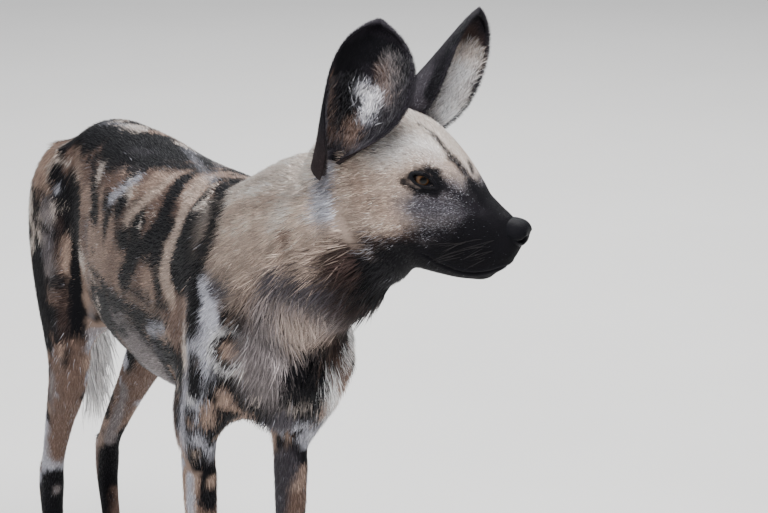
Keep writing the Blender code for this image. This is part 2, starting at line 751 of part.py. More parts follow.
def part_body(whole, dog, cutters):
    """Parts the whole body with thin cuts, each where a person would name a new part."""
    nodes = {"head": parted(whole, "head", [HEAD_CUT], dog, cutters)}
    ground = region("ground", [((0, 0, 0), (0, 0, 1))], 0, cutters)
    combined(whole, ground, "DIFFERENCE")
    bpy.data.objects.remove(ground, do_unlink=True)
    for side, sign in SIDES.items():
        middle = ((0, 0, 0), (-sign, 0, 0))
        armpit = ((sign * 0.030, 0, 0.396), (-sign, 0, 1))
        fore = [middle, armpit, ((0, 0.16, 0), (0, 1, 0))]
        nodes[f"foreleg_{side}"] = parted(whole, f"foreleg_{side}", fore, dog, cutters)
        groin = ((sign * 0.012, 0, 0.415), (-sign * 0.86, 0, 0.50))
        flank = ((0, 0.335, 0.45), (0, -0.90, 0.44))
        hind = [middle, groin, flank]
        nodes[f"hind_leg_{side}"] = parted(whole, f"hind_leg_{side}", hind, dog, cutters)
    for side, sign in SIDES.items():
        for end in ("foreleg", "hind_leg"):
            leg = nodes[f"{end}_{side}"]
            wrist = [((0, 0, PAW_CUT_HEIGHT), (0, 0, 1))]
            name = f"{'fore' if end == 'foreleg' else 'hind'}_paw_{side}"
            nodes[name] = parted(leg, name, wrist, dog, cutters)
            keep_largest(leg)
            add_claws(nodes[name])
    base = [((0, -0.090, 0.600), (0, 0.857, -0.514))]
    nodes["neck"] = parted(whole, "neck", base, dog, cutters)
    whole.name = "torso"
    nodes["torso"] = keep_largest(whole)
    return nodes


def ear_shell(name, sign, length, collection):
    """A round ear's cup, standing on the origin, its opening towards -Y.

    Its outer edge, on the side of sign, comes down lower than the inner one.
    """
    across_steps = 10
    up_steps = 11
    bm = bmesh.new()
    grid = []
    for j in range(up_steps + 1):
        v = math.sin(0.5 * math.pi * j / up_steps) ** 1.2
        round_top = math.sqrt(max(0.0, 1 - max(0.0, (v - 0.48) / 0.52) ** 2.1))
        swell = 0.55 + 0.45 * math.sin(math.pi * min(v / 0.50, 1) / 2)
        arc = EAR_HALF_ARC * swell * max(round_top, 0.12)
        curl = math.radians(120) * (1 - v) ** 1.25 + math.radians(44)
        radius = arc / curl
        line = []
        for i in range(across_steps + 1):
            u = 2 * i / across_steps - 1
            bend = u * curl
            side = radius * math.sin(bend)
            depth = radius * (1 - math.cos(bend))
            lean = 0.020 * v * v
            rise = v * length - EAR_SLANT * (1 - v) * sign * u
            line.append(bm.verts.new((side, lean - depth, rise)))
        grid.append(line)
    for low, high in zip(grid, grid[1:]):
        for i in range(across_steps):
            bm.faces.new((low[i], low[i + 1], high[i + 1], high[i]))
    shell = object_from(bm, name, collection)
    wall = shell.modifiers.new("wall", "SOLIDIFY")
    wall.thickness = EAR_THICKNESS
    wall.offset = 0
    bake(shell)
    return shell


def make_ear(side, head, neck, dog, cutters):
    """One ear on its root on the skull: the right one turned out, the left one forward."""
    sign = SIDES[side]
    outward = {"right": math.radians(-55), "left": math.radians(-14)}[side]
    tilt_out = {"right": math.radians(-5), "left": math.radians(19)}[side]
    tilt_ahead = {"right": math.radians(15), "left": math.radians(35)}[side]
    root = {"right": Vector((-0.053, 0.214, 0.030)), "left": Vector((0.048, 0.201, 0.046))}[side]
    placed = (
        HEAD
        @ Matrix.Translation(root)
        @ Matrix.Rotation(tilt_out, 4, "Y")
        @ Matrix.Rotation(tilt_ahead, 4, "X")
        @ Matrix.Rotation(outward, 4, "Z")
    )
    ear = ear_shell(f"ear_{side}", sign, EAR_LENGTH[side], dog)
    ear.data.transform(placed)
    return cleared(ear, [head, neck], cutters)


def make_eye(side, head, dog, cutters):
    """An eyeball in its socket, behind lids that leave an almond-shaped opening."""
    sign = SIDES[side]
    place = Vector((sign * EYE_PLACE.x, EYE_PLACE.y, EYE_PLACE.z))
    socket = in_head(ball("socket", place, (EYE_RADIUS + GAP,) * 3, cutters, cuts=24))
    combined(head, socket, "DIFFERENCE")
    bpy.data.objects.remove(socket, do_unlink=True)
    opening = ball("opening", (0, -0.024, 0), (0.0114, 0.030, 0.0072), cutters, cuts=16)
    outward = Matrix.Rotation(sign * EYE_OUTWARD, 4, "Z") @ Matrix.Rotation(-0.14, 4, "X")
    slant = Matrix.Rotation(-sign * math.radians(16), 4, "Y")
    opening.data.transform(Matrix.Translation(place) @ outward @ slant)
    in_head(opening)
    combined(head, opening, "DIFFERENCE")
    bpy.data.objects.remove(opening, do_unlink=True)
    keep_largest(head)
    return in_head(ball(f"eye_{side}", place, (EYE_RADIUS,) * 3, dog, cuts=16))


def mouth_height(y):
    """Height of the line of the mouth, in the head's own frame."""
    share = (y - 0.015) / 0.080
    return -0.040 - 0.015 * math.sin(math.pi * min(max(share, 0), 1)) * (1 - 0.35 * share)


def carve_mouth(head, cutters):
    """The line of the mouth: a thin groove from corner to corner, under the nose."""
    bm = bmesh.new()
    bm.from_mesh(head.data)
    tree = BVHTree.FromBMesh(bm)
    bm.free()
    middle = Vector((0, 0.085, 0))
    points = []
    for k in range(MOUTH_STEPS + 1):
        angle = MOUTH_ANGLE * (2 * k / MOUTH_STEPS - 1)
        way = Vector((math.sin(angle), -math.cos(angle), 0))
        height = mouth_height(0.03)
        for _ in range(4):
            start = middle + way * 0.30 + Vector((0, 0, height))
            hit = tree.ray_cast(HEAD @ start, HEAD.to_3x3() @ -way)[0]
            found = HEAD_INVERSE @ hit
            height = mouth_height(found.y)
        points.append(found)
    rows = []
    for k, point in enumerate(points):
        share = abs(2 * k / MOUTH_STEPS - 1)
        radius = MOUTH_RADIUS * (1 if share < 0.9 else 0.45)
        rows.append((*point, radius, radius, radius))
    groove = in_head(loft("groove", rows, cutters, squareness=2, steps=1, sides=8, flat=True))
    combined(head, groove, "DIFFERENCE")
    bpy.data.objects.remove(groove, do_unlink=True)


def carve_nostrils(head, cutters):
    for sign in SIDES.values():
        hole = (sign * 0.0088, 0.0020, -0.0085)
        turn = (0, sign * 0.5, sign * 0.6)
        nostril = ball("nostril", hole, (0.0040, 0.0075, 0.0032), cutters, tilt=turn)
        combined(head, in_head(nostril), "DIFFERENCE")
        bpy.data.objects.remove(nostril, do_unlink=True)


def dress(nodes):
    """Gives each node its material."""
    kinds = {
        "head": "face_coat",
        "neck": "neck_coat",
        "torso": "body_coat",
        "tail": "tail_brush",
        "foreleg": "leg_coat",
        "hind_leg": "leg_coat",
        "fore_paw": "paw_coat",
        "hind_paw": "paw_coat",
        "ear": "ear_coat",
        "eye": "eye",
    }
    made = {kind: make_material(kind, *look) for kind, look in LOOKS.items()}
    for name, node in nodes.items():
        plain = name.removesuffix("_left").removesuffix("_right")
        node.data.materials.clear()
        node.data.materials.append(made[kinds[plain]])


def centre(nodes):
    """Moves the dog level so that the origin is under the middle of its bounding box."""
    places = [vertex.co for node in nodes.values() for vertex in node.data.vertices]
    middle = Vector((0, 0, 0))
    for axis in (0, 1):
        values = [place[axis] for place in places]
        middle[axis] = 0.5 * (min(values) + max(values))
    for node in nodes.values():
        node.data.transform(Matrix.Translation(-middle))


def main():
    clear_scene()
    dog = make_collection("african_wild_dog")
    pieces = make_collection("pieces")
    cutters = make_collection("cutters")
    make_torso(pieces)
    make_neck(pieces)
    for side in SIDES:
        make_shoulder(side, pieces)
        make_foreleg(side, pieces)
        make_hind_leg(side, pieces)
    make_head_core(pieces)
    whole = fused(pieces, "whole", dog)
    nodes = part_body(whole, dog, cutters)
    head = nodes["head"]
    carve_mouth(head, cutters)
    carve_nostrils(head, cutters)
    for side in SIDES:
        nodes[f"ear_{side}"] = make_ear(side, head, nodes["neck"], dog, cutters)
        nodes[f"eye_{side}"] = make_eye(side, head, dog, cutters)
    add_ruff(nodes["neck"], [head, nodes["torso"]], cutters)
    hind = [nodes[f"hind_leg_{side}"] for side in SIDES]
    nodes["tail"] = make_tail(nodes["torso"], hind, dog, cutters)
    dress(nodes)
    centre(nodes)


main()
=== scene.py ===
"""The looks of a life-size still model of an african wild dog.

Metres, +Z up. The dog faces -Y and its left side is +X. One skin takes the place of the
body's solids, and the coat is laid over it in tufts that follow the lie of the hair.
"""

import logging
import math
from dataclasses import dataclass, field, replace
from enum import Enum

import bmesh
import bpy
import numpy as np
from mathutils import Matrix, Vector
from mathutils.bvhtree import BVHTree


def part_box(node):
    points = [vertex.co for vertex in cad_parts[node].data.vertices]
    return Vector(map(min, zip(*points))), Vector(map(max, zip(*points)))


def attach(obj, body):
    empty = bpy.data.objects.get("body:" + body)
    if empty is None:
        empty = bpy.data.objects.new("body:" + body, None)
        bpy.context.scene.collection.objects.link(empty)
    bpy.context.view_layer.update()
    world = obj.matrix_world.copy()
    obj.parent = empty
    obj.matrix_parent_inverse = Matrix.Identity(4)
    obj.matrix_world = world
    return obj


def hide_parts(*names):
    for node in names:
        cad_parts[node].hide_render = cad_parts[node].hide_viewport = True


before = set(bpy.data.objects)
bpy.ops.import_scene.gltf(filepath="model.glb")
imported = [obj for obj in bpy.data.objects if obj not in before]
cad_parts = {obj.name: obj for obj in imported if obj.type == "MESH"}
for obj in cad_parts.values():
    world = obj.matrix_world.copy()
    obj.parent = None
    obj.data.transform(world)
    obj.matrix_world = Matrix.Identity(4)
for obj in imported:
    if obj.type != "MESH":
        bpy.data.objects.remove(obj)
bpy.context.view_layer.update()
LOG = logging.getLogger("wild_dog")

IMAGE_WIDTH = 768
IMAGE_HEIGHT = 513
SIDES = {"right": -1, "left": 1}
FLOOR_GAP = 0.0004
TRIANGLES_MOST = 190000


class Coat(Enum):
    """The colours of the coat, as linear red, green and blue."""

    BLACK = (0.0045, 0.0042, 0.0062)
    SOOT = (0.014, 0.012, 0.016)
    UMBER = (0.042, 0.026, 0.023)
    BROWN = (0.175, 0.114, 0.090)
    TAN = (0.375, 0.265, 0.210)
    SAND = (0.530, 0.410, 0.340)
    CREAM = (0.690, 0.590, 0.520)
    GREY = (0.235, 0.205, 0.205)
    ASH = (0.070, 0.063, 0.074)
    SILVER = (0.500, 0.500, 0.560)
    WHITE = (0.860, 0.840, 0.840)


@dataclass(frozen=True)
class HeadPlace:
    """Where the head is: its own frame has y back from the nose, z up and x to its left."""

    nose_tip: tuple = (0.18, -0.335, 0.676)
    turn: float = math.radians(50)
    droop: float = math.radians(12)
    eye: tuple = (0.0420, 0.1128, 0.0360)
    eye_radius: float = 0.0115

    def matrix(self) -> Matrix:
        """The head's own frame in the frame of the model's sizes.

        Returns:
            The frame.
        """
        return (
            Matrix.Translation(self.nose_tip)
            @ Matrix.Rotation(self.turn, 4, "Z")
            @ Matrix.Rotation(self.droop, 4, "X")
        )

    def offset(self) -> Vector:
        """From the frame of the model's sizes to the CAD's own, found by the right eye.

        Returns:
            The step between the two frames.
        """
        low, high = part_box("eye_right")
        x, y, z = self.eye
        return 0.5 * (low + high) - self.matrix() @ Vector((-x, y, z))


HEAD_PLACE = HeadPlace()
OFFSET = HEAD_PLACE.offset()
HEAD = Matrix.Translation(OFFSET) @ HEAD_PLACE.matrix()
HEAD_INVERSE = HEAD.inverted()
BEHIND_HEAD = -0.05 + OFFSET.y


def in_head(points: np.ndarray) -> np.ndarray:
    """Points of the model in the head's own frame.

    Args:
        points: places, one a row.

    Returns:
        The same places, measured in the head's frame.
    """
    rotation = np.array(HEAD_INVERSE.to_3x3())
    return points @ rotation.T + np.array(HEAD_INVERSE.translation)


def smoothstep(low: float, high: float, value: np.ndarray) -> np.ndarray:
    """0 below low, 1 above high, and smooth between.

    Args:
        low: the value that gives 0.
        high: the value that gives 1.
        value: the values.

    Returns:
        The shares.
    """
    share = np.clip((value - low) / (high - low), 0, 1)
    return share * share * (3 - 2 * share)


def lattice(cells: np.ndarray, seed: int) -> np.ndarray:
    """A fixed random number from 0 to 1 for each whole-numbered cell.

    Args:
        cells: whole numbers, three a row.
        seed: picks another set of numbers.

    Returns:
        One number a row.
    """
    hashed = cells[..., 0] * 374761393 + cells[..., 1] * 668265263 + cells[..., 2] * 2147483647
    hashed = (hashed + seed * 974634777) & 0xFFFFFFFF
    hashed = ((hashed ^ (hashed >> 13)) * 1274126177) & 0xFFFFFFFF
    return ((hashed ^ (hashed >> 16)) & 0xFFFF) / 65535.0


def cloud(points: np.ndarray, scale: float, seed: int) -> np.ndarray:
    """Smooth noise between -1 and 1.

    Args:
        points: places, one a row.
        scale: how many cells there are in a metre.
        seed: picks another noise.

    Returns:
        One number a row.
    """
    scaled = points * scale
    base = np.floor(scaled).astype(np.int64)
    part = scaled - base
    part = part * part * (3 - 2 * part)
    total = np.zeros(len(points))
    for corner in range(8):
        step = np.array([corner & 1, (corner >> 1) & 1, corner >> 2])
        weight = np.prod(np.where(step == 1, part, 1 - part), axis=1)
        total += weight * lattice(base + step, seed)
    return 2 * total - 1


def clouds(points: np.ndarray, scale: float, seed: int, octaves: int = 3) -> np.ndarray:
    """Noise of a few sizes at once.

    Args:
        points: places, one a row.
        scale: cells in a metre of the largest noise.
        seed: picks another noise.
        octaves: how many sizes are added.

    Returns:
        One number a row, mostly between -1 and 1.
    """
    total = np.zeros(len(points))
    for k in range(octaves):
        total += cloud(points, scale * 2**k, seed + 31 * k) * 0.5**k
    return total / (2 - 0.5 ** (octaves - 1))


def catmull(a: float, b: float, c: float, d: float, t: float) -> float:
    """The value at t from b to c, on a smooth curve through a, b, c and d."""
    return b + 0.5 * t * (c - a + t * (2 * a - 5 * b + 4 * c - d + t * (3 * (b - c) + d - a)))


def smooth_rows(rows: list, steps: int) -> list:
    """The rows with others between them, on a smooth curve.

    Args:
        rows: rows of numbers, all of one length.
        steps: how many steps there are from one row to the next.

    Returns:
        The finer rows.
    """
    ends = [rows[0]] + list(rows) + [rows[-1]]
    found = []
    for four in zip(ends, ends[1:], ends[2:], ends[3:]):
        for k in range(steps):
            found.append([catmull(*values, k / steps) for values in zip(*four)])
    found.append(list(rows[-1]))
    return found


def mesh_from(bm: bmesh.types.BMesh, name: str) -> bpy.types.Object:
    """An object of the bmesh, faces pointing out, in the scene.

    Args:
        bm: the shape, freed here.
        name: the object's name.

    Returns:
        The object.
    """
    bmesh.ops.recalc_face_normals(bm, faces=bm.faces)
    mesh = bpy.data.meshes.new(name)
    bm.to_mesh(mesh)
    bm.free()
    made = bpy.data.objects.new(name, mesh)
    bpy.context.scene.collection.objects.link(made)
    return made


def add_loft(
    bm: bmesh.types.BMesh,
    rows: list,
    squareness: float = 2.2,
    steps: int = 3,
    turn: tuple = (0.0, 0.0),
    sides: int = 28,
    placed: Matrix = Matrix.Translation(OFFSET),
) -> None:
    """Adds a closed body through cross-sections.

    Args:
        bm: what it is added to.
        rows: (x, y, z, half width, thickness above, thickness below) of each section.
        squareness: 2 for round sections, and more for squarer ones.
        steps: how many steps there are from one row to the next.
        turn: how far the first and the last section are turned about Z.
        sides: how many sides a section has.
        placed: takes the rows' frame to the model's.
    """
    rows = smooth_rows(rows, steps)
    centres = [Vector(row[:3]) for row in rows]
    rings = []
    for i, row in enumerate(rows):
        along = (centres[min(i + 1, len(rows) - 1)] - centres[max(i - 1, 0)]).normalized()
        yaw = turn[0] + (turn[1] - turn[0]) * i / (len(rows) - 1)
        side = Vector((math.cos(yaw), math.sin(yaw), 0))
        side = (side - along * side.dot(along)).normalized()
        rise = side.cross(along)
        ring = []
        for k in range(sides):
            angle = 2 * math.pi * k / sides
            across = math.copysign(abs(math.cos(angle)) ** (2 / squareness), math.cos(angle))
            over = math.copysign(abs(math.sin(angle)) ** (2 / squareness), math.sin(angle))
            over *= row[4] if over > 0 else row[5]
            place = centres[i] + side * (across * row[3]) + rise * over
            ring.append(bm.verts.new(placed @ place))
        rings.append(ring)
    for first, second in zip(rings, rings[1:]):
        for k in range(sides):
            j = (k + 1) % sides
            bm.faces.new((first[k], first[j], second[j], second[k]))
    bm.faces.new(rings[0])
    bm.faces.new(rings[-1])


def add_ball(
    bm: bmesh.types.BMesh,
    place: tuple,
    radii: tuple,
    tilt: tuple = (0.0, 0.0, 0.0),
    placed: Matrix = Matrix.Translation(OFFSET),
) -> None:
    """Adds an ellipsoid.

    Args:
        bm: what it is added to.
        place: its middle.
        radii: its half sizes.
        tilt: its turns about X, Y and Z.
        placed: takes the place's frame to the model's.
    """
    turned = Matrix.Rotation(tilt[2], 4, "Z") @ Matrix.Rotation(tilt[1], 4, "Y")
    turned = turned @ Matrix.Rotation(tilt[0], 4, "X") @ Matrix.Diagonal((*radii, 1))
    matrix = placed @ Matrix.Translation(place) @ turned
    bmesh.ops.create_uvsphere(bm, u_segments=24, v_segments=14, radius=1, matrix=matrix)


@dataclass
class Trunk:
    """Ribcage, loin, croup and neck, by the sizes of the solids."""

    withers: float = 0.68
    chest: float = 0.396
    chest_half: float = 0.096
    shoulder_half: float = 0.099
    waist_half: float = 0.071
    croup: float = 0.650

    def build(self, bm: bmesh.types.BMesh) -> None:
        """Adds the trunk and neck to the bmesh.

        Args:
            bm: what they are added to.
        """
        top = self.withers
        low = self.chest
        wide = self.chest_half
        waist = self.waist_half
        stations = (
            (-0.158, top - 0.130, low + 0.104, 0.30 * wide),
            (-0.135, top - 0.078, low + 0.059, 0.58 * wide),
            (-0.085, top - 0.028, low + 0.024, 0.84 * wide),
            (-0.020, top - 0.006, low + 0.014, 0.93 * wide),
            (0.060, top - 0.010, low + 0.009, 0.97 * wide),
            (0.150, top - 0.018, low, wide),
            (0.230, top - 0.021, low - 0.002, 0.97 * wide),
            (0.310, top - 0.018, low + 0.002, 0.88 * wide),
            (0.380, top - 0.020, low + 0.017, 1.04 * waist),
            (0.440, self.croup, low + 0.036, waist),
            (0.500, self.croup - 0.042, low + 0.062, 0.88 * waist),
            (0.542, self.croup - 0.090, low + 0.098, 0.60 * waist),
        )
        rows = []
        for y, back, belly, half in stations:
            widest = belly + 0.48 * (back - belly)
            rows.append((0, y, widest, half, back - widest, widest - belly))
        add_loft(bm, rows, squareness=2.15)
        neck = (
            (0.078, -0.266, 0.706, 0.042, 0.042, 0.052),
            (0.060, -0.240, 0.697, 0.058, 0.058, 0.086),
            (0.040, -0.205, 0.687, 0.067, 0.070, 0.101),
            (0.022, -0.160, 0.662, 0.073, 0.079, 0.104),
            (0.008, -0.110, 0.632, 0.078, 0.082, 0.110),
            (0.000, -0.050, 0.600, 0.086, 0.084, 0.124),
            (0.000, 0.010, 0.580, 0.086, 0.090, 0.118),
        )
        add_loft(bm, neck, turn=(0.75 * HEAD_PLACE.turn, 0))
        add_ball(bm, (0.004, -0.112, 0.500), (0.074, 0.050, 0.078))


@dataclass
class Leg:
    """What a foreleg and a hind leg share: which side it is on and where its paw stands."""

    side: str
    paw_half: float = 0.028
    claw_length: float = 0.013

    @property
    def sign(self) -> int:
        """-1 on the right and 1 on the left."""
        return SIDES[self.side]

    def toes(self, x: float, y: float, scale: float) -> list:
        """The toes of the paw.

        Args:
            x: how far the paw is from the mid-line.
            y: where its middle is.
            scale: its size beside a fore paw.

        Returns:
            The centre and spread of each of the four toes, from the inner to the outer.
        """
        places = []
        for k in range(4):
            spread = (k - 1.5) / 1.5
            across = self.sign * (x + spread * 0.66 * self.paw_half * scale)
            ahead = y - scale * (0.018 + 0.017 * (1 - abs(spread)))
            places.append((Vector((across, ahead, 0.0115 * scale)), spread * self.sign))
        return places

    def build_paw(self, bm: bmesh.types.BMesh, x: float, y: float, scale: float) -> None:
        """Adds a paw of four arched toes before a heel pad.

        Args:
            bm: what it is added to.
            x: how far the paw is from the mid-line.
            y: where its middle is.
            scale: its size beside a fore paw.
        """
        half = self.paw_half * scale
        add_ball(bm, (self.sign * x, y + 0.006, 0.020), (0.80 * half, 0.030, 0.022))
        add_ball(bm, (self.sign * x, y + 0.012, 0.008), (0.72 * half, 0.022, 0.012))
        for toe, spread in self.toes(x, y, scale):
            radii = (0.0088 * scale, 0.0235 * scale, 0.0148 * scale)
            add_ball(bm, toe, radii, tilt=(0.12, 0, 0.16 * spread))


@dataclass
class Foreleg(Leg):
    """Shoulder, forearm, wrist and paw of one side."""

    x: float = 0.0
    y: float = 0.0
    elbow: float = 0.385
    wrist: float = 0.150
    trunk: Trunk = field(default_factory=Trunk)

    def paw_place(self) -> tuple:
        """The paw's distance from the mid-line, its y and its scale."""
        return self.x, self.y - 0.034, 1.0

    def middle_at(self, z: np.ndarray) -> np.ndarray:
        """The y of the leg's middle at each height."""
        return np.full_like(z, self.y - 0.01)

    def build(self, bm: bmesh.types.BMesh) -> None:
        """Adds the leg to the bmesh.

        Args:
            bm: what it is added to.
        """
        sign = self.sign
        x = self.x
        y = self.y
        blade = (
            (sign * 0.026, 0.012, self.trunk.withers - 0.022, 0.016, 0.040, 0.034),
            (sign * 0.047, -0.012, 0.625, 0.028, 0.058, 0.050),
            (sign * 0.057, -0.040, 0.565, 0.034, 0.064, 0.056),
            (sign * 0.060, -0.068, 0.505, 0.033, 0.060, 0.050),
            (sign * 0.060, -0.078, 0.470, 0.030, 0.054, 0.040),
        )
        add_loft(bm, blade)
        wide = self.trunk.shoulder_half
        arm = (
            (sign * (wide - 0.038), -0.072, 0.505, 0.032, 0.052, 0.040),
            (sign * (wide - 0.035), -0.048 + 0.3 * y, 0.460, 0.031, 0.060, 0.044),
            (sign * (0.5 * wide + 0.5 * x - 0.012), -0.018 + 0.7 * y, 0.420, 0.027, 0.052, 0.042),
            (sign * (x + 0.004), -0.002 + y, self.elbow, 0.023, 0.038, 0.038),
        )
        add_loft(bm, arm)
        forearm = (
            (sign * (x + 0.002), y + 0.002, self.elbow + 0.012, 0.020, 0.032, 0.034),
            (sign * (x + 0.001), y - 0.002, self.elbow - 0.030, 0.0210, 0.030, 0.034),
            (sign * x, y - 0.004, 0.300, 0.0190, 0.0270, 0.0290),
            (sign * (x - 0.002), y - 0.006, 0.235, 0.0165, 0.0200, 0.0220),
            (sign * (x - 0.003), y - 0.008, 0.180, 0.0155, 0.0170, 0.0180),
            (sign * (x - 0.003), y - 0.010, self.wrist, 0.0178, 0.0178, 0.0188),
            (sign * (x - 0.003), y - 0.012, 0.120, 0.0165, 0.0170, 0.0160),
            (sign * (x - 0.002), y - 0.018, 0.080, 0.0165, 0.0155, 0.0150),
            (sign * (x - 0.001), y - 0.030, 0.045, 0.0190, 0.0190, 0.0170),
            (sign * (x - 0.001), y - 0.040, 0.026, 0.0200, 0.0200, 0.0200),
        )
        add_loft(bm, forearm)
        elbow = (sign * x, y + 0.030, self.elbow - 0.016)
        add_ball(bm, elbow, (0.014, 0.015, 0.026), tilt=(-0.4, 0, 0))
        add_ball(bm, (sign * (x - 0.002), y + 0.012, self.wrist - 0.016), (0.008, 0.008, 0.010))
        self.build_paw(bm, *self.paw_place())


@dataclass
class HindLeg(Leg):
    """Thigh, hock and paw of one side."""

    x: float = 0.0
    stifle: float = 0.0
    hock: float = 0.0
    heel: float = 0.0
    stifle_height: float = 0.385
    outer_x: float = 0.074
    plain_stifle: float = 0.385
    croup: float = 0.650

    def paw_place(self) -> tuple:
        """The paw's distance from the mid-line, its y and its scale."""
        return self.x, self.hock - 0.034, 0.95

    def middle_at(self, z: np.ndarray) -> np.ndarray:
        """The y of the leg's middle at each height."""
        line = (self.hock - 0.04, self.hock - 0.01, self.hock, self.stifle + 0.02, 0.46)
        return np.interp(z, (0.0, 0.10, 0.19, self.stifle_height, 0.5), line)

    def build(self, bm: bmesh.types.BMesh) -> None:
        """Adds the leg to the bmesh.

        Args:
            bm: what it is added to.
        """
        sign = self.sign
        x = self.x
        stifle = self.stifle
        hock = self.hock
        high = self.stifle_height
        lean = 0.35 * (stifle - self.plain_stifle)
        reach = hock - stifle
        inward = self.outer_x - x
        knee = 0.069 - 0.3 * inward
        thigh = (
            (sign * 0.036, 0.460, self.croup - 0.046, 0.028, 0.042, 0.042),
            (sign * 0.049, 0.470 + 0.4 * lean, 0.560, 0.038, 0.070, 0.068),
            (sign * 0.055, 0.461 + lean, 0.510, 0.037, 0.092, 0.080),
            (sign * (0.060 - 0.1 * inward), 0.440 + 1.4 * lean, 0.458, 0.033, 0.088, 0.070),
            (sign * (0.066 - 0.2 * inward), 0.417 + 2.2 * lean, 0.415, 0.029, 0.070, 0.052),
            (sign * knee, stifle + 0.016, high - 0.018, 0.026, 0.053, 0.037),
        )
        add_loft(bm, thigh)
        middle = 0.5 * (high + self.heel)
        shin = (
            (sign * knee, stifle + 0.016, high - 0.008, 0.026, 0.052, 0.037),
            (sign * (0.5 * x + 0.034), stifle + 0.3 * reach, 0.335, 0.0235, 0.042, 0.031),
            (sign * (0.65 * x + 0.024), stifle + 0.6 * reach, middle, 0.0195, 0.0290, 0.0230),
            (sign * x, stifle + 0.88 * reach, self.heel + 0.037, 0.0150, 0.0240, 0.0170),
            (sign * x, hock, self.heel, 0.0165, 0.0260, 0.0190),
            (sign * x, hock + 0.002, self.heel - 0.030, 0.0150, 0.0180, 0.0170),
            (sign * x, hock - 0.008, 0.115, 0.0138, 0.0148, 0.0148),
            (sign * x, hock - 0.018, 0.075, 0.0145, 0.0145, 0.0145),
            (sign * x, hock - 0.030, 0.042, 0.0180, 0.0180, 0.0170),
            (sign * x, hock - 0.038, 0.026, 0.0190, 0.0190, 0.0190),
        )
        add_loft(bm, shin)
        heel = (sign * x, hock + 0.022, self.heel + 0.010)
        add_ball(bm, heel, (0.0105, 0.011, 0.022), tilt=(-0.25, 0, 0))
        self.build_paw(bm, *self.paw_place())


@dataclass
class Skull:
    """Muzzle, jaw and skull, in the head's own frame."""

    wide: float = 0.069

    def build(self, bm: bmesh.types.BMesh) -> None:
        """Adds the head to the bmesh.

        Args:
            bm: what it is added to.
        """
        wide = self.wide
        stations = (
            (0.004, 0.000, -0.016, 0.012),
            (0.013, 0.009, -0.029, 0.021),
            (0.024, 0.017, -0.045, 0.027),
            (0.037, 0.025, -0.058, 0.031),
            (0.053, 0.031, -0.067, 0.036),
            (0.072, 0.040, -0.070, 0.042),
            (0.090, 0.052, -0.071, 0.049),
            (0.110, 0.066, -0.070, 0.80 * wide),
            (0.135, 0.081, -0.066, 0.94 * wide),
            (0.162, 0.090, -0.058, wide),
            (0.190, 0.080, -0.048, 0.94 * wide),
            (0.215, 0.058, -0.036, 0.80 * wide),
            (0.235, 0.030, -0.020, 0.58 * wide),
        )
        rows = []
        for y, top, bottom, half in stations:
            middle = bottom + 0.45 * (top - bottom)
            rows.append((0, y, middle, half, top - middle, middle - bottom))
        add_loft(bm, rows, squareness=2.35, placed=HEAD)
        add_ball(bm, (0, 0.0110, -0.006), (0.0165, 0.0105, 0.0120), placed=HEAD)
        add_ball(bm, (0, 0.040, -0.055), (0.017, 0.015, 0.010), placed=HEAD)
        for sign in SIDES.values():
            x, y, z = HEAD_PLACE.eye
            lids = HEAD_PLACE.eye_radius + 0.0028
            add_ball(bm, (sign * 0.015, 0.030, -0.028), (0.014, 0.018, 0.014), placed=HEAD)
            add_ball(bm, (sign * 0.041, 0.148, -0.014), (0.026, 0.046, 0.040), placed=HEAD)
            brow = (sign * 0.034, 0.113, 0.051)
            add_ball(bm, brow, (0.019, 0.018, 0.010), tilt=(0.5, 0, 0), placed=HEAD)
            add_ball(bm, (sign * x, y, z), (lids, lids, lids), placed=HEAD)


@dataclass
class TailCore:
    """The tail's flesh, hanging from the croup a little to the left."""

    root: tuple = (0.0, 0.530, 0.566)
    length: float = 0.33
    core: float = 0.0150

    def rows(self) -> list:
        """The tail's sections, from the croup down.

        Returns:
            Rows as add_loft takes them.
        """
        x, y, z = self.root
        length = self.length
        core = self.core
        return [
            (x, y - 0.030, z + 0.012, 0.019, 0.019, 0.019),
            (x, y + 0.010, z - 0.004, 0.016, 0.016, 0.016),
            (x + 0.002, y + 0.040, z - 0.10 * length, 0.013, 0.014, 0.013),
            (x + 0.007, y + 0.057, z - 0.26 * length, 0.013, 0.014, 0.013),
            (x + 0.014, y + 0.067, z - 0.43 * length, core, core, core),
            (x + 0.020, y + 0.073, z - 0.60 * length, core, core, core),
            (x + 0.024, y + 0.077, z - 0.74 * length, 0.75 * core, 0.75 * core, 0.75 * core),
            (x + 0.026, y + 0.078, z - 0.84 * length, 0.3 * core, 0.3 * core, 0.3 * core),
        ]

    def build(self, bm: bmesh.types.BMesh) -> None:
        """Adds the tail to the bmesh."""
        add_loft(bm, self.rows(), squareness=2)


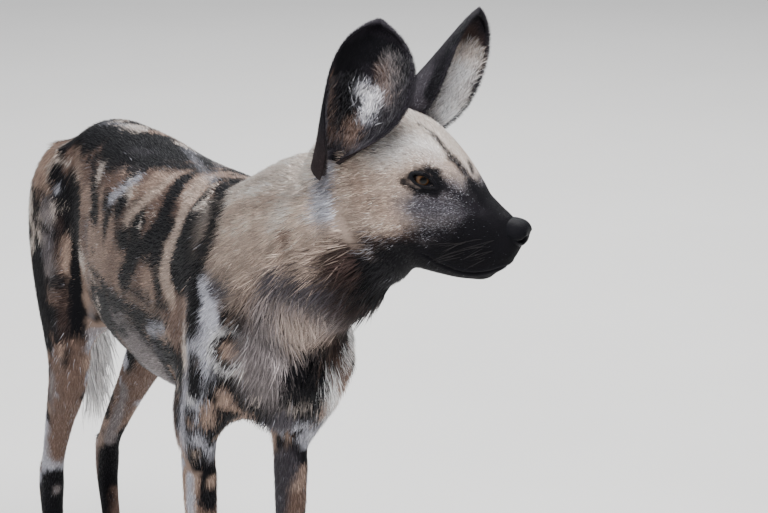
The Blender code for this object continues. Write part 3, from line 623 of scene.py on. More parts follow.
@dataclass(frozen=True)
class EyePlace:
    """How an eye lies behind its lids, in the head's own frame."""

    side: str
    outward: float = math.radians(63)
    slant: float = math.radians(16)
    half_length: float = 0.0108
    half_height: float = 0.0056

    def frame(self) -> Matrix:
        """The eye's frame: it looks towards -Y, and x runs along the opening.

        Returns:
            The frame.
        """
        sign = SIDES[self.side]
        x, y, z = HEAD_PLACE.eye
        turned = Matrix.Rotation(sign * self.outward, 4, "Z") @ Matrix.Rotation(-0.14, 4, "X")
        slanted = Matrix.Rotation(-sign * self.slant, 4, "Y")
        return HEAD @ Matrix.Translation((sign * x, y, z)) @ turned @ slanted

    def seen_from(self, points: np.ndarray) -> np.ndarray:
        """The points in the eye's frame."""
        inverse = self.frame().inverted()
        return points @ np.array(inverse.to_3x3()).T + np.array(inverse.translation)

    def openness(self, points: np.ndarray) -> np.ndarray:
        """How far points lie from the opening's middle.

        Args:
            points: places in the model.

        Returns:
            Below 1 inside the opening and above 1 outside it, large behind the eye.
        """
        local = self.seen_from(points)
        share = np.hypot(local[:, 0] / self.half_length, local[:, 2] / self.half_height)
        away = (local[:, 1] > 0) | (np.linalg.norm(local, axis=1) > 0.035)
        return np.where(away, 99.0, share)


EYES = (EyePlace("right"), EyePlace("left"))


@dataclass(frozen=True)
class MouthLine:
    """The line between the lips, in the head's own frame."""

    front: float = 0.015
    length: float = 0.080
    height: float = -0.040
    sag: float = 0.015

    def height_at(self, y: np.ndarray) -> np.ndarray:
        """The line's height at each y.

        Args:
            y: how far behind the nose.

        Returns:
            The heights.
        """
        share = (y - self.front) / self.length
        bow = np.sin(math.pi * np.clip(share, 0, 1)) * (1 - 0.35 * share)
        return self.height - self.sag * bow


MOUTH = MouthLine()


@dataclass
class View:
    """The photograph's view: where the camera stands and how long its lens is."""

    azimuth: float = math.radians(-23)
    height: float = math.radians(15)
    distance: float = 4.2
    scale: float = 930.0
    withers: tuple = (0.0, 0.0, 0.68)
    withers_pixel: tuple = (245.0, 172.0)

    def __post_init__(self) -> None:
        """Works out the camera's place and axes."""
        back = Vector((math.sin(self.azimuth), -math.cos(self.azimuth), 0))
        self.back = back * math.cos(self.height) + Vector((0, 0, math.sin(self.height)))
        self.right = Vector((0, 0, 1)).cross(self.back).normalized()
        self.up = self.back.cross(self.right)
        self.focal = self.distance * self.scale
        across = (IMAGE_WIDTH / 2 - self.withers_pixel[0]) / self.scale
        down = (IMAGE_HEIGHT / 2 - self.withers_pixel[1]) / self.scale
        place = Vector(self.withers) + OFFSET + self.back * self.distance
        self.place = place + self.right * across - self.up * down

    def way(self, pixel: tuple) -> Vector:
        """The direction in which a pixel of the photograph is seen.

        Args:
            pixel: its x and y.

        Returns:
            A direction of length one.
        """
        across = (pixel[0] - IMAGE_WIDTH / 2) / self.focal
        down = (pixel[1] - IMAGE_HEIGHT / 2) / self.focal
        return (self.right * across - self.up * down - self.back).normalized()

    def build(self) -> bpy.types.Object:
        """Makes the camera and hands it to the scene.

        Returns:
            The camera.
        """
        data = bpy.data.cameras.new("camera")
        data.sensor_width = 36
        data.lens = 36 * self.focal / IMAGE_WIDTH
        data.clip_end = 50
        camera = bpy.data.objects.new("camera", data)
        rotation = Matrix((self.right, self.up, self.back)).transposed().to_4x4()
        camera.matrix_world = Matrix.Translation(self.place) @ rotation
        bpy.context.scene.collection.objects.link(camera)
        bpy.context.scene.camera = camera
        return camera


VIEW = View()


def segments_distance(points: np.ndarray, line: np.ndarray) -> np.ndarray:
    """Each point's distance from a line of straight pieces.

    Args:
        points: places, one a row.
        line: the line's corners, one a row.

    Returns:
        The distances.
    """
    if len(line) == 1:
        return np.linalg.norm(points - line[0], axis=1)
    best = np.full(len(points), 1e9)
    for start, end in zip(line, line[1:]):
        along = end - start
        share = (points - start) @ along / max(along @ along, 1e-12)
        nearest = start + np.clip(share, 0, 1)[:, None] * along
        best = np.minimum(best, np.linalg.norm(points - nearest, axis=1))
    return best


@dataclass(frozen=True)
class Stroke:
    """A brush stroke of coat colour along a line of places in the photograph.

    radius and soft are in pixels of the photograph.
    """

    colour: Coat
    radius: float
    line: tuple
    soft: float = 2.5
    strength: float = 1.0


def stroke(colour: Coat, radius: float, *line: tuple, soft: float = 4.0, strength: float = 1.0) -> Stroke:
    """A stroke of a colour and radius through the given pixels."""
    return Stroke(colour, radius, line, soft=soft, strength=strength)


RUMP_MARKS = (
    stroke(Coat.BLACK, 21, (72, 145), (100, 138)),
    stroke(Coat.BLACK, 24, (112, 146), (150, 149), (188, 157)),
    stroke(Coat.BLACK, 12, (198, 158), (214, 167)),
    stroke(Coat.BLACK, 12, (90, 130), (130, 135), (165, 143), (195, 154)),
    stroke(Coat.GREY, 5, (68, 129), (85, 120), (108, 117), soft=6),
    stroke(Coat.BLACK, 11, (108, 165), (135, 163), (165, 164), (190, 167), (212, 171), soft=7),
    # Painted highlight: the next two thin silver lines follow the lit top edge of the back.
    stroke(Coat.SILVER, 3, (104, 123), (126, 125), (144, 129), soft=5, strength=0.7),
    stroke(Coat.SILVER, 3, (184, 146), (204, 157), (222, 166), soft=5, strength=0.6),
    stroke(Coat.ASH, 3, (128, 150), (150, 153), soft=7, strength=0.7),
    stroke(Coat.BROWN, 7, (70, 152), (74, 164), soft=6),
    stroke(Coat.TAN, 6, (77, 152), (80, 175), (83, 200), soft=6),
    stroke(Coat.GREY, 3.5, (87, 222), (89, 270), (91, 316), soft=5),
    stroke(Coat.BLACK, 15, (54, 176), (63, 188), (62, 198)),
    stroke(Coat.SILVER, 4, (57, 190)),
    stroke(Coat.TAN, 7, (29, 168), (27, 205), (29, 258), soft=6),
)
THIGH_MARKS = (
    stroke(Coat.GREY, 15, (46, 215), (50, 276), soft=9),
    stroke(Coat.UMBER, 7, (58, 225), (56, 262), soft=8),
    stroke(Coat.ASH, 6, (52, 236), (46, 258), soft=8),
    stroke(Coat.BLACK, 6, (33, 218), (33, 300), (41, 340)),
    stroke(Coat.BLACK, 13, (76, 196), (76, 250), (75, 300), (73, 342)),
    stroke(Coat.BLACK, 9, (46, 283), (60, 283), soft=6),
    stroke(Coat.BLACK, 8, (47, 312), (47, 372), soft=6),
    stroke(Coat.UMBER, 8, (62, 300), (62, 336), soft=8),
    stroke(Coat.BLACK, 8, (79, 303), (79, 338)),
    stroke(Coat.BROWN, 13, (74, 352), (72, 392), soft=8),
    stroke(Coat.BLACK, 5, (68, 352), (64, 364), soft=6),
    stroke(Coat.BLACK, 4, (50, 365)),
    stroke(Coat.GREY, 8, (52, 378), (52, 402), soft=8),
    stroke(Coat.BROWN, 17, (62, 408), (61, 452), soft=8),
    stroke(Coat.BLACK, 22, (56, 486), (52, 506)),
    stroke(Coat.GREY, 4, (57, 490)),
)
FLANK_MARKS = (
    stroke(Coat.TAN, 36, (112, 235), (125, 290), soft=12),
    stroke(Coat.BROWN, 20, (112, 262), (112, 290), soft=14, strength=0.7),
    stroke(Coat.GREY, 30, (125, 335), (152, 362), soft=12),
    stroke(Coat.BLACK, 9, (94, 160), (94, 200), soft=6),
    stroke(Coat.BROWN, 6, (106, 170), (106, 190), soft=7),
    stroke(Coat.BLACK, 18, (120, 206), (122, 236), soft=7),
    stroke(Coat.BLACK, 12, (108, 214), (102, 238), soft=7),
    stroke(Coat.BROWN, 5, (124, 212), (118, 226), soft=6, strength=0.8),
    stroke(Coat.SILVER, 7, (110, 199), (122, 190), (138, 179), soft=4),
    stroke(Coat.BLACK, 15, (184, 178), (171, 200), (161, 225), (146, 245), (131, 262), (122, 280)),
    stroke(Coat.SAND, 9, (171, 178), (162, 187), (146, 199), (128, 217), soft=6),
    stroke(Coat.BLACK, 8, (122, 244), (138, 252), (150, 262), soft=6),
    stroke(Coat.SAND, 13, (203, 180), (189, 202), (178, 228), (168, 252), (164, 275), (170, 296), soft=5),
    stroke(Coat.BLACK, 7, (158, 248), (152, 262), (156, 276), soft=6),
    stroke(Coat.BROWN, 8, (140, 270), (138, 288), soft=7),
    stroke(Coat.BLACK, 7, (124, 284), (146, 300), (166, 306), soft=7),
    stroke(Coat.TAN, 7, (150, 284), (152, 296), soft=6),
    stroke(Coat.BLACK, 12, (112, 298), (126, 308), (142, 318), (160, 324), soft=6),
    stroke(Coat.BLACK, 6, (95, 318), (110, 338), (125, 350), soft=6),
    stroke(Coat.BLACK, 5, (120, 350), (135, 368), (150, 385), soft=6),
    stroke(Coat.SILVER, 6, (148, 330), (162, 328), strength=0.8),
    stroke(Coat.UMBER, 4, (155, 390), (170, 396)),
)
SHOULDER_MARKS = (
    stroke(Coat.SILVER, 24, (200, 300), (196, 380), (196, 450), soft=10),
    stroke(Coat.BLACK, 12, (246, 172), (232, 181), (221, 195), (216, 215), (209, 240), soft=5),
    stroke(Coat.BLACK, 12, (208, 240), (199, 260), (193, 282), (190, 305), (190, 330), (188, 342)),
    stroke(Coat.SAND, 3, (203, 232)),
    stroke(Coat.BLACK, 13, (193, 302), (193, 336)),
    stroke(Coat.SILVER, 6, (202, 284), (208, 300), (213, 320), (207, 338), (188, 350), soft=4),
    stroke(Coat.GREY, 3, (188, 305)),
    stroke(Coat.GREY, 3, (186, 330)),
    stroke(Coat.ASH, 9, (214, 288), (226, 292)),
    stroke(Coat.BLACK, 13, (230, 320)),
    stroke(Coat.TAN, 4, (230, 322)),
    stroke(Coat.WHITE, 24, (228, 354)),
    stroke(Coat.BLACK, 20, (229, 352)),
    stroke(Coat.TAN, 10, (229, 352)),
    stroke(Coat.BLACK, 15, (194, 366), (194, 390)),
    stroke(Coat.GREY, 4, (196, 365)),
    stroke(Coat.GREY, 4, (186, 376)),
    stroke(Coat.BLACK, 16, (219, 394), (213, 428), (217, 436)),
    stroke(Coat.BLACK, 12, (240, 390), (242, 404)),
    stroke(Coat.TAN, 8, (226, 396), (226, 406)),
    stroke(Coat.TAN, 6, (210, 407), (207, 425)),
    stroke(Coat.TAN, 6, (219, 435)),
    stroke(Coat.WHITE, 4, (188, 400), (192, 402)),
    stroke(Coat.BLACK, 9, (190, 414), (190, 436)),
    stroke(Coat.TAN, 4, (190, 425)),
    stroke(Coat.BLACK, 14, (195, 454), (195, 462)),
    stroke(Coat.SAND, 6, (194, 455)),
    stroke(Coat.BLACK, 13, (212, 474), (211, 500)),
    stroke(Coat.TAN, 6, (213, 482)),
    stroke(Coat.SILVER, 7, (190, 478), (190, 512)),
)
CHEST_MARKS = (
    stroke(Coat.GREY, 42, (295, 320), (275, 370), soft=16),
    stroke(Coat.SAND, 22, (300, 320), (310, 345), soft=14, strength=0.6),
    stroke(Coat.ASH, 13, (268, 285), (296, 284), (322, 292), soft=8),
    stroke(Coat.UMBER, 7, (315, 338), soft=5),
    stroke(Coat.BLACK, 10, (304, 362), (320, 364), soft=5),
    stroke(Coat.BLACK, 19, (296, 394), (318, 392), soft=5),
    # Partly pale chest hair, partly a painted highlight along the chest's lit edge.
    stroke(Coat.WHITE, 8, (350, 322), (350, 345), (346, 364), soft=5),
    stroke(Coat.ASH, 20, (285, 425), (280, 470), (276, 510), soft=6),
    stroke(Coat.BLACK, 8, (300, 416), (318, 422), (335, 428)),
    stroke(Coat.WHITE, 8, (330, 384), (332, 400), (324, 418)),
    stroke(Coat.SILVER, 8, (308, 442), (310, 470), (309, 500)),
    stroke(Coat.BLACK, 4, (347, 388)),
)
HIND_LEFT_MARKS = (
    stroke(Coat.BROWN, 9, (140, 392), (131, 418), (124, 436)),
    stroke(Coat.GREY, 7, (124, 388), (118, 414), (108, 440)),
    stroke(Coat.ASH, 5, (113, 366), (107, 402), (98, 426)),
    stroke(Coat.BLACK, 14, (108, 456), (102, 484), (102, 510)),
)
NECK_MARKS = (
    stroke(Coat.SAND, 46, (245, 225), (262, 225), (282, 222), soft=16),
    # Partly the cream hair of the neck, partly a painted highlight along the lit crest.
    stroke(Coat.CREAM, 16, (238, 186), (262, 182), (300, 166), soft=8),
    stroke(Coat.CREAM, 10, (322, 152), (292, 190), (272, 224), soft=5),
    stroke(Coat.BROWN, 9, (283, 238), soft=4),
    stroke(Coat.SILVER, 14, (328, 175), (322, 195), (318, 214), soft=6),
    stroke(Coat.ASH, 10, (322, 182), (330, 192), soft=6, strength=0.7),
    stroke(Coat.UMBER, 24, (345, 262), (338, 285), (350, 300), soft=7),
    stroke(Coat.BLACK, 22, (376, 262), (368, 290), (372, 305), soft=6),
    stroke(Coat.BLACK, 18, (394, 258), (390, 284), soft=5),
    stroke(Coat.SAND, 5, (308, 262), soft=4),
)
FACE_MARKS = (
    stroke(Coat.SAND, 44, (370, 195), (385, 190), (372, 215), soft=8),
    stroke(Coat.CREAM, 24, (375, 140), (405, 140), (440, 135), soft=10),
    # A painted highlight on the lit top of the forehead, laid thinly over its cream hair.
    stroke(Coat.WHITE, 12, (385, 150), (410, 145), (432, 152), soft=12, strength=0.55),
    stroke(Coat.CREAM, 10, (446, 128), (458, 148), (470, 170), soft=6, strength=0.8),
    stroke(Coat.TAN, 9, (357, 184), (360, 204), soft=8, strength=0.7),
    stroke(Coat.TAN, 8, (412, 158), (432, 160), soft=8, strength=0.5),
    stroke(Coat.ASH, 4, (356, 138), (366, 148), (374, 150), soft=5, strength=0.8),
    stroke(Coat.TAN, 13, (385, 207), (396, 218), soft=10, strength=0.6),
    stroke(Coat.GREY, 18, (416, 208), (438, 212), (462, 212), soft=16),
    stroke(Coat.ASH, 15, (424, 206), (446, 208), (474, 214), soft=12),
    stroke(Coat.SOOT, 9, (446, 187), (468, 202), (486, 214), soft=9),
    stroke(Coat.SOOT, 13, (414, 236), (440, 234), (470, 232), soft=12),
    stroke(Coat.UMBER, 12, (366, 242), (384, 244), (404, 240), soft=10),
    stroke(Coat.BLACK, 12, (380, 254), (400, 250), (414, 250), soft=9),
    stroke(Coat.BLACK, 26, (416, 262), (450, 257), (480, 252), (508, 240), soft=12),
    stroke(Coat.BLACK, 14, (466, 236), (484, 226), (500, 224), soft=10),
    stroke(Coat.BLACK, 5, (405, 180), (412, 175), (424, 170), (436, 172), soft=4.5),
    stroke(Coat.BLACK, 6.5, (429, 170), (439, 180), (437, 190), soft=5),
    stroke(Coat.BLACK, 4.5, (406, 184), (416, 190), (430, 192), (438, 189), soft=3.5),
    stroke(Coat.BLACK, 3, (371, 201), soft=3, strength=0.7),
    stroke(Coat.BLACK, 12, (400, 250), (410, 262), soft=8),
)
LINE_MARKS = (
    stroke(Coat.BLACK, 1.8, (405, 108), (420, 125), (432, 133), soft=2),
    stroke(Coat.BLACK, 4.0, (433, 134), (441, 144), (450, 156), soft=3),
    stroke(Coat.BLACK, 5.5, (451, 157), (465, 172), (477, 187), soft=4),
    stroke(Coat.BLACK, 9, (472, 187), (486, 200), (500, 213), soft=6),
    stroke(Coat.BLACK, 3.5, (470, 163), (472, 172), soft=2.5),
)
BODY_MARKS = (
    *FLANK_MARKS,
    *RUMP_MARKS,
    *THIGH_MARKS,
    *NECK_MARKS,
    *SHOULDER_MARKS,
)
EAR_MARKS = {
    "right": (
        stroke(Coat.SOOT, 60, (370, 80), soft=3),
        stroke(Coat.BLACK, 14, (345, 55), (365, 48), (388, 55), (396, 75), soft=4),
        stroke(Coat.BLACK, 12, (350, 70), (348, 100), (350, 120), soft=5),
        stroke(Coat.GREY, 6, (389, 62), (393, 78), (389, 98), soft=7, strength=0.6),
        stroke(Coat.BROWN, 6, (384, 70), (385, 96), soft=7, strength=0.6),
        stroke(Coat.BROWN, 4, (331, 76), (329, 100), (331, 138), soft=4),
        stroke(Coat.BROWN, 9, (354, 126), (352, 138), soft=7),
        stroke(Coat.SILVER, 7, (363, 90), (373, 97), (368, 118), soft=6),
        stroke(Coat.WHITE, 4, (362, 90), (374, 97), (369, 116), soft=5, strength=0.8),
        stroke(Coat.BLACK, 4, (325, 70), (324, 110), (334, 160), (341, 182), soft=3),
    ),
    "left": (
        stroke(Coat.SOOT, 70, (450, 50), soft=3),
        stroke(Coat.UMBER, 14, (466, 36), (470, 56), soft=8),
        stroke(Coat.ASH, 10, (425, 74), (420, 100), soft=7, strength=0.6),
        stroke(Coat.CREAM, 14, (464, 58), (455, 82), (448, 110), soft=9),
        stroke(Coat.WHITE, 12, (460, 72), (452, 92), (448, 112), soft=8),
        stroke(Coat.BLACK, 5, (481, 8), (462, 30), (440, 70), (428, 96), soft=3),
    ),
}


@dataclass
class Painter:
    """Lays the strokes on a surface and reads the coat's colour at any place."""

    tree: BVHTree
    laid: list = field(default_factory=list)

    def lay(self, strokes: tuple, own: bool = False) -> None:
        """Casts each stroke from the camera onto the surface.

        Args:
            strokes: the strokes, the last on top.
            own: True where a stroke shows only where it lies, and not on the other side.
        """
        for mark in strokes:
            places = [self.find(pixel) for pixel in mark.line]
            self.laid.append((mark, own, np.array(places)))

    def find(self, pixel: tuple) -> list:
        """The place on the surface that shows at a pixel, or the nearest to it.

        Args:
            pixel: its x and y.

        Returns:
            The place.
        """
        way = VIEW.way(pixel)
        hit = self.tree.ray_cast(VIEW.place, way)[0]
        if hit is None:
            reach = VIEW.distance / -way.dot(VIEW.back)
            hit = VIEW.place + way * reach
            for _ in range(6):
                near = self.tree.find_nearest(hit)[0]
                hit = VIEW.place + way * (near - VIEW.place).dot(way)
            hit = near
        return list(hit)

    def paint(self, points: np.ndarray, folded: np.ndarray, colours: np.ndarray) -> np.ndarray:
        """The colours with the strokes over them.

        Args:
            points: places in the model.
            folded: where the same places lie on the side that the photograph shows.
            colours: their colours so far.

        Returns:
            The new colours.
        """
        colours = colours.copy()
        edge = 0.0042 * clouds(points, 55, 11) + 0.0026 * cloud(points, 210, 12)
        edge += 0.0016 * cloud(points, 600, 15)
        for mark, own, line in self.laid:
            where = points if own else folded
            radius = mark.radius / VIEW.scale
            soft = mark.soft / VIEW.scale
            reach = radius + soft + 0.012
            near = np.all(where > line.min(0) - reach, axis=1)
            near &= np.all(where < line.max(0) + reach, axis=1)
            index = np.nonzero(near)[0]
            if not len(index):
                continue
            fade = min(1.0, radius / 0.009)
            far = segments_distance(where[index], line) + fade * edge[index]
            share = (1 - smoothstep(radius - soft, radius + soft, far)) * mark.strength
            colours[index] += share[:, None] * (tone(mark.colour) - colours[index])
        return colours


@dataclass(frozen=True)
class Flow:
    """A stretch along which the coat lies, from start to end, felt within reach."""

    start: tuple
    end: tuple
    reach: float = 0.05
    on_head: bool = False

    def ends(self) -> tuple:
        """Its two ends in the model."""
        placed = HEAD if self.on_head else Matrix.Translation(OFFSET)
        return np.array(placed @ Vector(self.start)), np.array(placed @ Vector(self.end))


def body_flows() -> list:
    """The flows of trunk and neck.

    Returns:
        The flows.
    """
    flows = [
        Flow((0.070, -0.260, 0.745), (0.020, -0.120, 0.712), 0.05),
        Flow((0.020, -0.120, 0.712), (0.0, 0.020, 0.690), 0.05),
        Flow((0.0, 0.020, 0.690), (0.0, 0.250, 0.660), 0.06),
        Flow((0.0, 0.250, 0.660), (0.0, 0.470, 0.635), 0.06),
        Flow((0.0, 0.470, 0.635), (0.0, 0.545, 0.560), 0.05),
        Flow((0.0, -0.060, 0.410), (0.0, 0.200, 0.385), 0.05),
        Flow((0.0, 0.200, 0.385), (0.0, 0.440, 0.430), 0.05),
        Flow((0.000, -0.170, 0.590), (0.0, -0.160, 0.500), 0.05),
        Flow((0.0, -0.160, 0.500), (0.0, -0.100, 0.420), 0.05),
        Flow((0.090, -0.262, 0.610), (0.030, -0.180, 0.550), 0.05),
        Flow((0.0, 0.540, 0.565), (0.014, 0.597, 0.424), 0.04),
        Flow((0.014, 0.597, 0.424), (0.026, 0.608, 0.290), 0.04),
    ]
    for sign in SIDES.values():
        flows += [
            Flow((sign * 0.06, -0.250, 0.690), (sign * 0.075, -0.100, 0.610), 0.05),
            Flow((sign * 0.075, -0.100, 0.620), (sign * 0.090, -0.020, 0.540), 0.05),
            Flow((sign * 0.090, 0.020, 0.600), (sign * 0.095, 0.200, 0.540), 0.05),
            Flow((sign * 0.095, 0.200, 0.520), (sign * 0.080, 0.380, 0.460), 0.05),
            Flow((sign * 0.090, 0.050, 0.470), (sign * 0.090, 0.250, 0.430), 0.05),
            Flow((sign * 0.060, 0.440, 0.610), (sign * 0.085, 0.450, 0.500), 0.05),
            Flow((sign * 0.085, 0.450, 0.500), (sign * 0.085, 0.430, 0.400), 0.05),
            Flow((sign * 0.070, 0.520, 0.520), (sign * 0.080, 0.470, 0.400), 0.04),
            Flow((sign * 0.090, -0.040, 0.540), (sign * 0.085, -0.030, 0.430), 0.05),
        ]
    return flows


def leg_flows(forelegs: list, hind_legs: list) -> list:
    """The flows of the legs, down to the toes.

    Args:
        forelegs: the two forelegs.
        hind_legs: the two hind legs.

    Returns:
        The flows.
    """
    flows = []
    for leg in forelegs:
        x = leg.sign * leg.x
        flows += [
            Flow((x, leg.y - 0.01, 0.43), (x, leg.y - 0.006, 0.25), 0.04),
            Flow((x, leg.y - 0.006, 0.25), (x, leg.y - 0.014, 0.10), 0.03),
            Flow((x, leg.y - 0.014, 0.10), (x, leg.y - 0.045, 0.03), 0.03),
            Flow((x, leg.y - 0.045, 0.03), (x, leg.y - 0.085, 0.005), 0.03),
        ]
    for leg in hind_legs:
        x = leg.sign * leg.x
        flows += [
            Flow((x, leg.stifle, 0.40), (x, leg.hock - 0.03, 0.25), 0.04),
            Flow((x, leg.hock - 0.03, 0.25), (x, leg.hock, 0.17), 0.03),
            Flow((x, leg.hock, 0.17), (x, leg.hock - 0.02, 0.06), 0.03),
            Flow((x, leg.hock - 0.035, 0.04), (x, leg.hock - 0.085, 0.005), 0.03),
        ]
    return flows


def head_flows() -> list:
    """The flows of the head, which part at the nose and run back round the eyes.

    Returns:
        The flows.
    """
    flows = [
        Flow((0, -0.005, 0.010), (0, 0.070, 0.040), 0.02, True),
        Flow((0, 0.070, 0.045), (0, 0.110, 0.080), 0.02, True),
        Flow((0, 0.110, 0.080), (0, 0.200, 0.085), 0.03, True),
        Flow((0, 0.020, -0.060), (0, 0.150, -0.075), 0.02, True),
    ]
    for sign in SIDES.values():
        flows += [
            Flow((sign * 0.02, 0.010, -0.020), (sign * 0.042, 0.070, -0.020), 0.02, True),
            Flow((sign * 0.042, 0.070, -0.020), (sign * 0.070, 0.130, -0.030), 0.02, True),
            Flow((sign * 0.070, 0.130, -0.030), (sign * 0.070, 0.200, -0.075), 0.03, True),
            Flow((sign * 0.030, 0.085, 0.040), (sign * 0.050, 0.120, 0.062), 0.012, True),
            Flow((sign * 0.052, 0.120, 0.058), (sign * 0.072, 0.165, 0.045), 0.02, True),
            Flow((sign * 0.045, 0.090, 0.012), (sign * 0.066, 0.130, 0.010), 0.015, True),
            Flow((sign * 0.066, 0.130, 0.010), (sign * 0.075, 0.200, -0.020), 0.02, True),
            Flow((sign * 0.020, 0.120, 0.085), (sign * 0.045, 0.180, 0.085), 0.02, True),
        ]
    return flows


@dataclass
class Lie:
    """The way the coat lies at any place, from flows that are felt by their distance."""

    flows: list

    def at(self, points: np.ndarray, outs: np.ndarray) -> np.ndarray:
        """The lie at places on a surface.

        Args:
            points: the places.
            outs: the surface's normals there.

        Returns:
            Directions of length one along the surface.
        """
        total = np.zeros_like(points)
        for flow in self.flows:
            start, end = flow.ends()
            along = end - start
            far = segments_distance(points, np.array([start, end]))
            weight = 1.0 / ((far / flow.reach) ** 4 + 0.02)
            total += weight[:, None] * along / np.linalg.norm(along)
        total -= outs * np.sum(total * outs, axis=1)[:, None]
        size = np.linalg.norm(total, axis=1)[:, None]
        return total / np.maximum(size, 1e-6)


def ramp(low: float, high: float, value: np.ndarray) -> np.ndarray:
    """0 below low, 1 above high, and straight between."""
    return np.clip((value - low) / (high - low), 0, 1)


def evaluated(made: bpy.types.Object) -> None:
    """Applies the object's modifiers.

    Args:
        made: the object.
    """
    graph = bpy.context.evaluated_depsgraph_get()
    mesh = bpy.data.meshes.new_from_object(made.evaluated_get(graph))
    made.modifiers.clear()
    made.data = mesh


def remeshed(made: bpy.types.Object, voxel: float) -> None:
    """Fuses the object's pieces into one surface of the given voxel size.

    Args:
        made: the object.
        voxel: how large the voxels are.
    """
    fuse = made.modifiers.new("fuse", "REMESH")
    fuse.mode = "VOXEL"
    fuse.voxel_size = voxel
    evaluated(made)


def places_of(mesh: bpy.types.Mesh) -> np.ndarray:
    """The mesh's vertices, one a row.

    Args:
        mesh: the mesh.

    Returns:
        The places.
    """
    flat = np.empty(3 * len(mesh.vertices), dtype=np.float32)
    mesh.vertices.foreach_get("co", flat)
    return flat.reshape(-1, 3).astype(np.float64)


def normals_of(mesh: bpy.types.Mesh) -> np.ndarray:
    """The normals at the mesh's vertices, one a row.

    Args:
        mesh: the mesh.

    Returns:
        The normals.
    """
    flat = np.empty(3 * len(mesh.vertices), dtype=np.float32)
    mesh.vertices.foreach_get("normal", flat)
    return flat.reshape(-1, 3).astype(np.float64)


def place_vertices(mesh: bpy.types.Mesh, places: np.ndarray) -> None:
    """Moves the mesh's vertices to the given places."""
    mesh.vertices.foreach_set("co", places.astype(np.float32).ravel())
    mesh.update()


def smoothed(mesh: bpy.types.Mesh, places: np.ndarray, times: int, weight: np.ndarray) -> np.ndarray:
    """The places after each has moved towards the middle of its neighbours.

    Args:
        mesh: gives the edges.
        places: the vertices' places.
        times: how many steps are taken.
        weight: how freely each vertex moves, from 0 to 1.

    Returns:
        The new places.
    """
    pairs = np.empty(2 * len(mesh.edges), dtype=np.int32)
    mesh.edges.foreach_get("vertices", pairs)
    first, second = pairs.reshape(-1, 2).T
    count = len(places)
    links = np.bincount(first, minlength=count) + np.bincount(second, minlength=count)
    share = (0.25 * weight / np.maximum(links, 1))[:, None]
    for _ in range(times):
        total = np.empty_like(places)
        for axis in range(3):
            column = places[:, axis]
            total[:, axis] = np.bincount(first, column[second], count)
            total[:, axis] += np.bincount(second, column[first], count)
        places = places + share * (total - links[:, None] * places)
    return places


def head_side(points: np.ndarray) -> np.ndarray:
    """How far points lie behind the cut between head and neck, in metres."""
    local = in_head(points)
    return 0.85 * (local[:, 1] - 0.188) - 0.527 * local[:, 2]


def trunk_share(points: np.ndarray) -> np.ndarray:
    """1 on the trunk and neck, 0 on the face and the lower legs.

    Args:
        points: places in the model.

    Returns:
        A share for each place.
    """
    plain = points - np.array(OFFSET)
    off_face = np.where(plain[:, 1] < -0.10, ramp(0.125, 0.195, in_head(points)[:, 1]), 1)
    low = 0.365 - 0.08 * ramp(0.16, 0.30, plain[:, 1])
    return off_face * np.clip((plain[:, 2] - low) / 0.07, 0, 1)


def neck_way(y: np.ndarray) -> np.ndarray:
    """How far the middle of trunk and neck lies to the left at each y."""
    return np.interp(y, (-0.266, -0.160, -0.050), (0.078, 0.022, 0.0))


